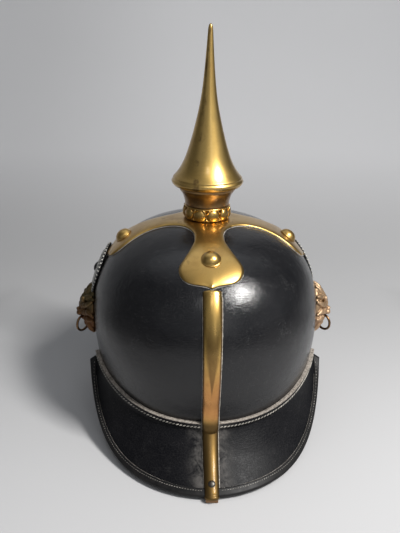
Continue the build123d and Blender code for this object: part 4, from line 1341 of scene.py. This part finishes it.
def backdrop_piece():
    """Pale floor that curves up into the wall behind, darker where the photograph's is, with painted shade, a
    painted shadow and painted light in its tone.
    """
    bend = 0.9
    wall = 0.9
    floor_run = 3.4
    whole_run = 7
    width = 9

    def place(across, along):
        x = (across - 0.5) * width
        run = along * whole_run - floor_run
        if run < 0:
            return Vector((x, run + wall, 0))
        turn = min(pi / 2, run / bend)
        rest = max(0, run - bend * pi / 2)
        return Vector((x, wall + bend * sin(turn), bend * (1 - cos(turn)) + rest))

    bm = grid(12, 90, place)
    bm.normal_update()
    if bm.faces[:][0].normal.z < 0:
        bmesh.ops.reverse_faces(bm, faces=bm.faces)
    finish = Finish("backdrop")
    side = finish.axis("X")
    run = finish.axis("Y")
    # Painted shade and light in the floor's tone: darker far in front and to the left, a painted shadow
    # behind the helmet, lighter up the wall.
    front = finish.between(run, -0.75, -0.28, 0.22, 1.0)
    slope = finish.between(side, -0.45, 0.1, 0.84, 1.0)
    painted_shadow_dip = finish.between(run, -0.15, 0.2, 0.54, 0.42)
    rise = finish.between(run, 0.3, 1.1, 0.0, 0.34)
    soft = finish.between(finish.noise(1.2, 2, 0.5), 0.0, 1.0, 0.97, 1.03)
    # Painted shade on the floor in front, beyond the helmet's left and right.
    left = finish.between(side, -0.34, -0.20, 0.35, 1.0)
    right = finish.between(side, 0.22, 0.40, 1.0, 0.4)
    behind = finish.between(run, 0.0, 0.25)
    # Painted shade at the far right.
    far_right_shade = finish.between(side, 0.75, 1.3, 1.0, 0.35)
    tone = finish.times(finish.times(front, slope), finish.maths("ADD", painted_shadow_dip, rise))
    tone = finish.times(tone, soft)
    sides = finish.maths("MAXIMUM", finish.times(left, right), behind)
    tone = finish.times(tone, finish.times(sides, far_right_shade))
    colour = finish.mix(tone, (0, 0, 0), (0.985, 0.985, 1.0))
    finish.set(Base_Color=colour, Roughness=0.9, Specular_IOR_Level=0.1)
    linked("backdrop", smooth_mesh("backdrop", bm, [finish]))


def lamp(name, direction, distance, size, power, colour=(1, 1, 1), height=None):
    """Soft lamp that looks at the helmet, square unless it has a height."""
    data = bpy.data.lights.new(name, "AREA")
    data.shape = "RECTANGLE"
    data.size = size
    data.size_y = height or size
    data.energy = power
    data.color = colour
    aim = Vector((0, 0, 0.14))
    way = Vector(direction).normalized()
    linked(name, data).matrix_world = seat_matrix(aim + way * distance, way)


def studio():
    """Camera, backdrop, three lamps, and a dim world with five broad glows."""
    camera_piece()
    backdrop_piece()
    lamp("window_lamp", (0.510, -0.420, 0.751), 1.5, 0.30, 30, (1, 0.985, 0.96), 0.40)
    lamp("ceiling_lamp", (-0.02, -0.695, 0.72), 1.5, 0.26, 0.9)
    lamp("door_lamp", (0.282, -0.869, 0.407), 1.6, 0.17, 0.6, (1, 0.99, 0.97), 1.2)
    world = bpy.data.worlds.new("studio")
    world.use_nodes = True
    tree = world.node_tree
    place = tree.nodes.new("ShaderNodeTexCoord")
    total = tree.nodes.new("ShaderNodeValue")
    total.outputs[0].default_value = 0.09
    glows = (
        ((0.0, 0.30, 0.95), 0.65, 0.98, 0.38),
        ((0.0, 0.78, 0.62), 0.50, 0.95, 0.42),
        ((0.0, 1.0, 0.0), 0.10, 0.95, 0.14),
        ((0.70, -0.65, 0.28), 0.50, 0.95, 0.32),
        ((-0.20, -0.96, 0.20), 0.45, 0.95, 0.20),
    )
    for toward, low, high, share in glows:
        facing = tree.nodes.new("ShaderNodeVectorMath")
        facing.operation = "DOT_PRODUCT"
        facing.inputs[1].default_value = toward
        tree.links.new(place.outputs["Generated"], facing.inputs[0])
        ramp = tree.nodes.new("ShaderNodeMapRange")
        ramp.interpolation_type = "SMOOTHSTEP"
        tree.links.new(facing.outputs["Value"], ramp.inputs["Value"])
        for socket, value in (("From Min", low), ("From Max", high), ("To Min", 0), ("To Max", share)):
            ramp.inputs[socket].default_value = value
        joined = tree.nodes.new("ShaderNodeMath")
        joined.operation = "ADD"
        tree.links.new(total.outputs[0], joined.inputs[0])
        tree.links.new(ramp.outputs["Result"], joined.inputs[1])
        total = joined
    background = tree.nodes["Background"]
    background.inputs["Color"].default_value = (0.93, 0.96, 1, 1)
    tree.links.new(total.outputs[0], background.inputs["Strength"])
    bpy.context.scene.world = world
    bpy.context.scene.view_settings.view_transform = "Standard"


def dress_inner_nodes():
    """Finishes for the fastenings that stay as they are."""
    kept = (
        "arm_stud_washers", "arm_stud_nuts", "boss_nuts", "spine_nut", "crown_nut", "crown_washer",
        "spike_stud",
    )
    for node in kept:
        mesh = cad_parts[node].data
        mesh.materials.clear()
        mesh.materials.append(fitting_finish.material)


shell_piece()
guard_set()
cross_piece()
stud_pieces()
spike_pieces()
collar_piece()
spine_piece()
for side, name in ((-1, "left"), (1, "right")):
    lion_piece(side, name)
    ring_piece(side, name)
    cockade_piece(side, name)
rivet_pieces()
sweatband_piece()
draw_cord_piece()
dress_inner_nodes()
studio()
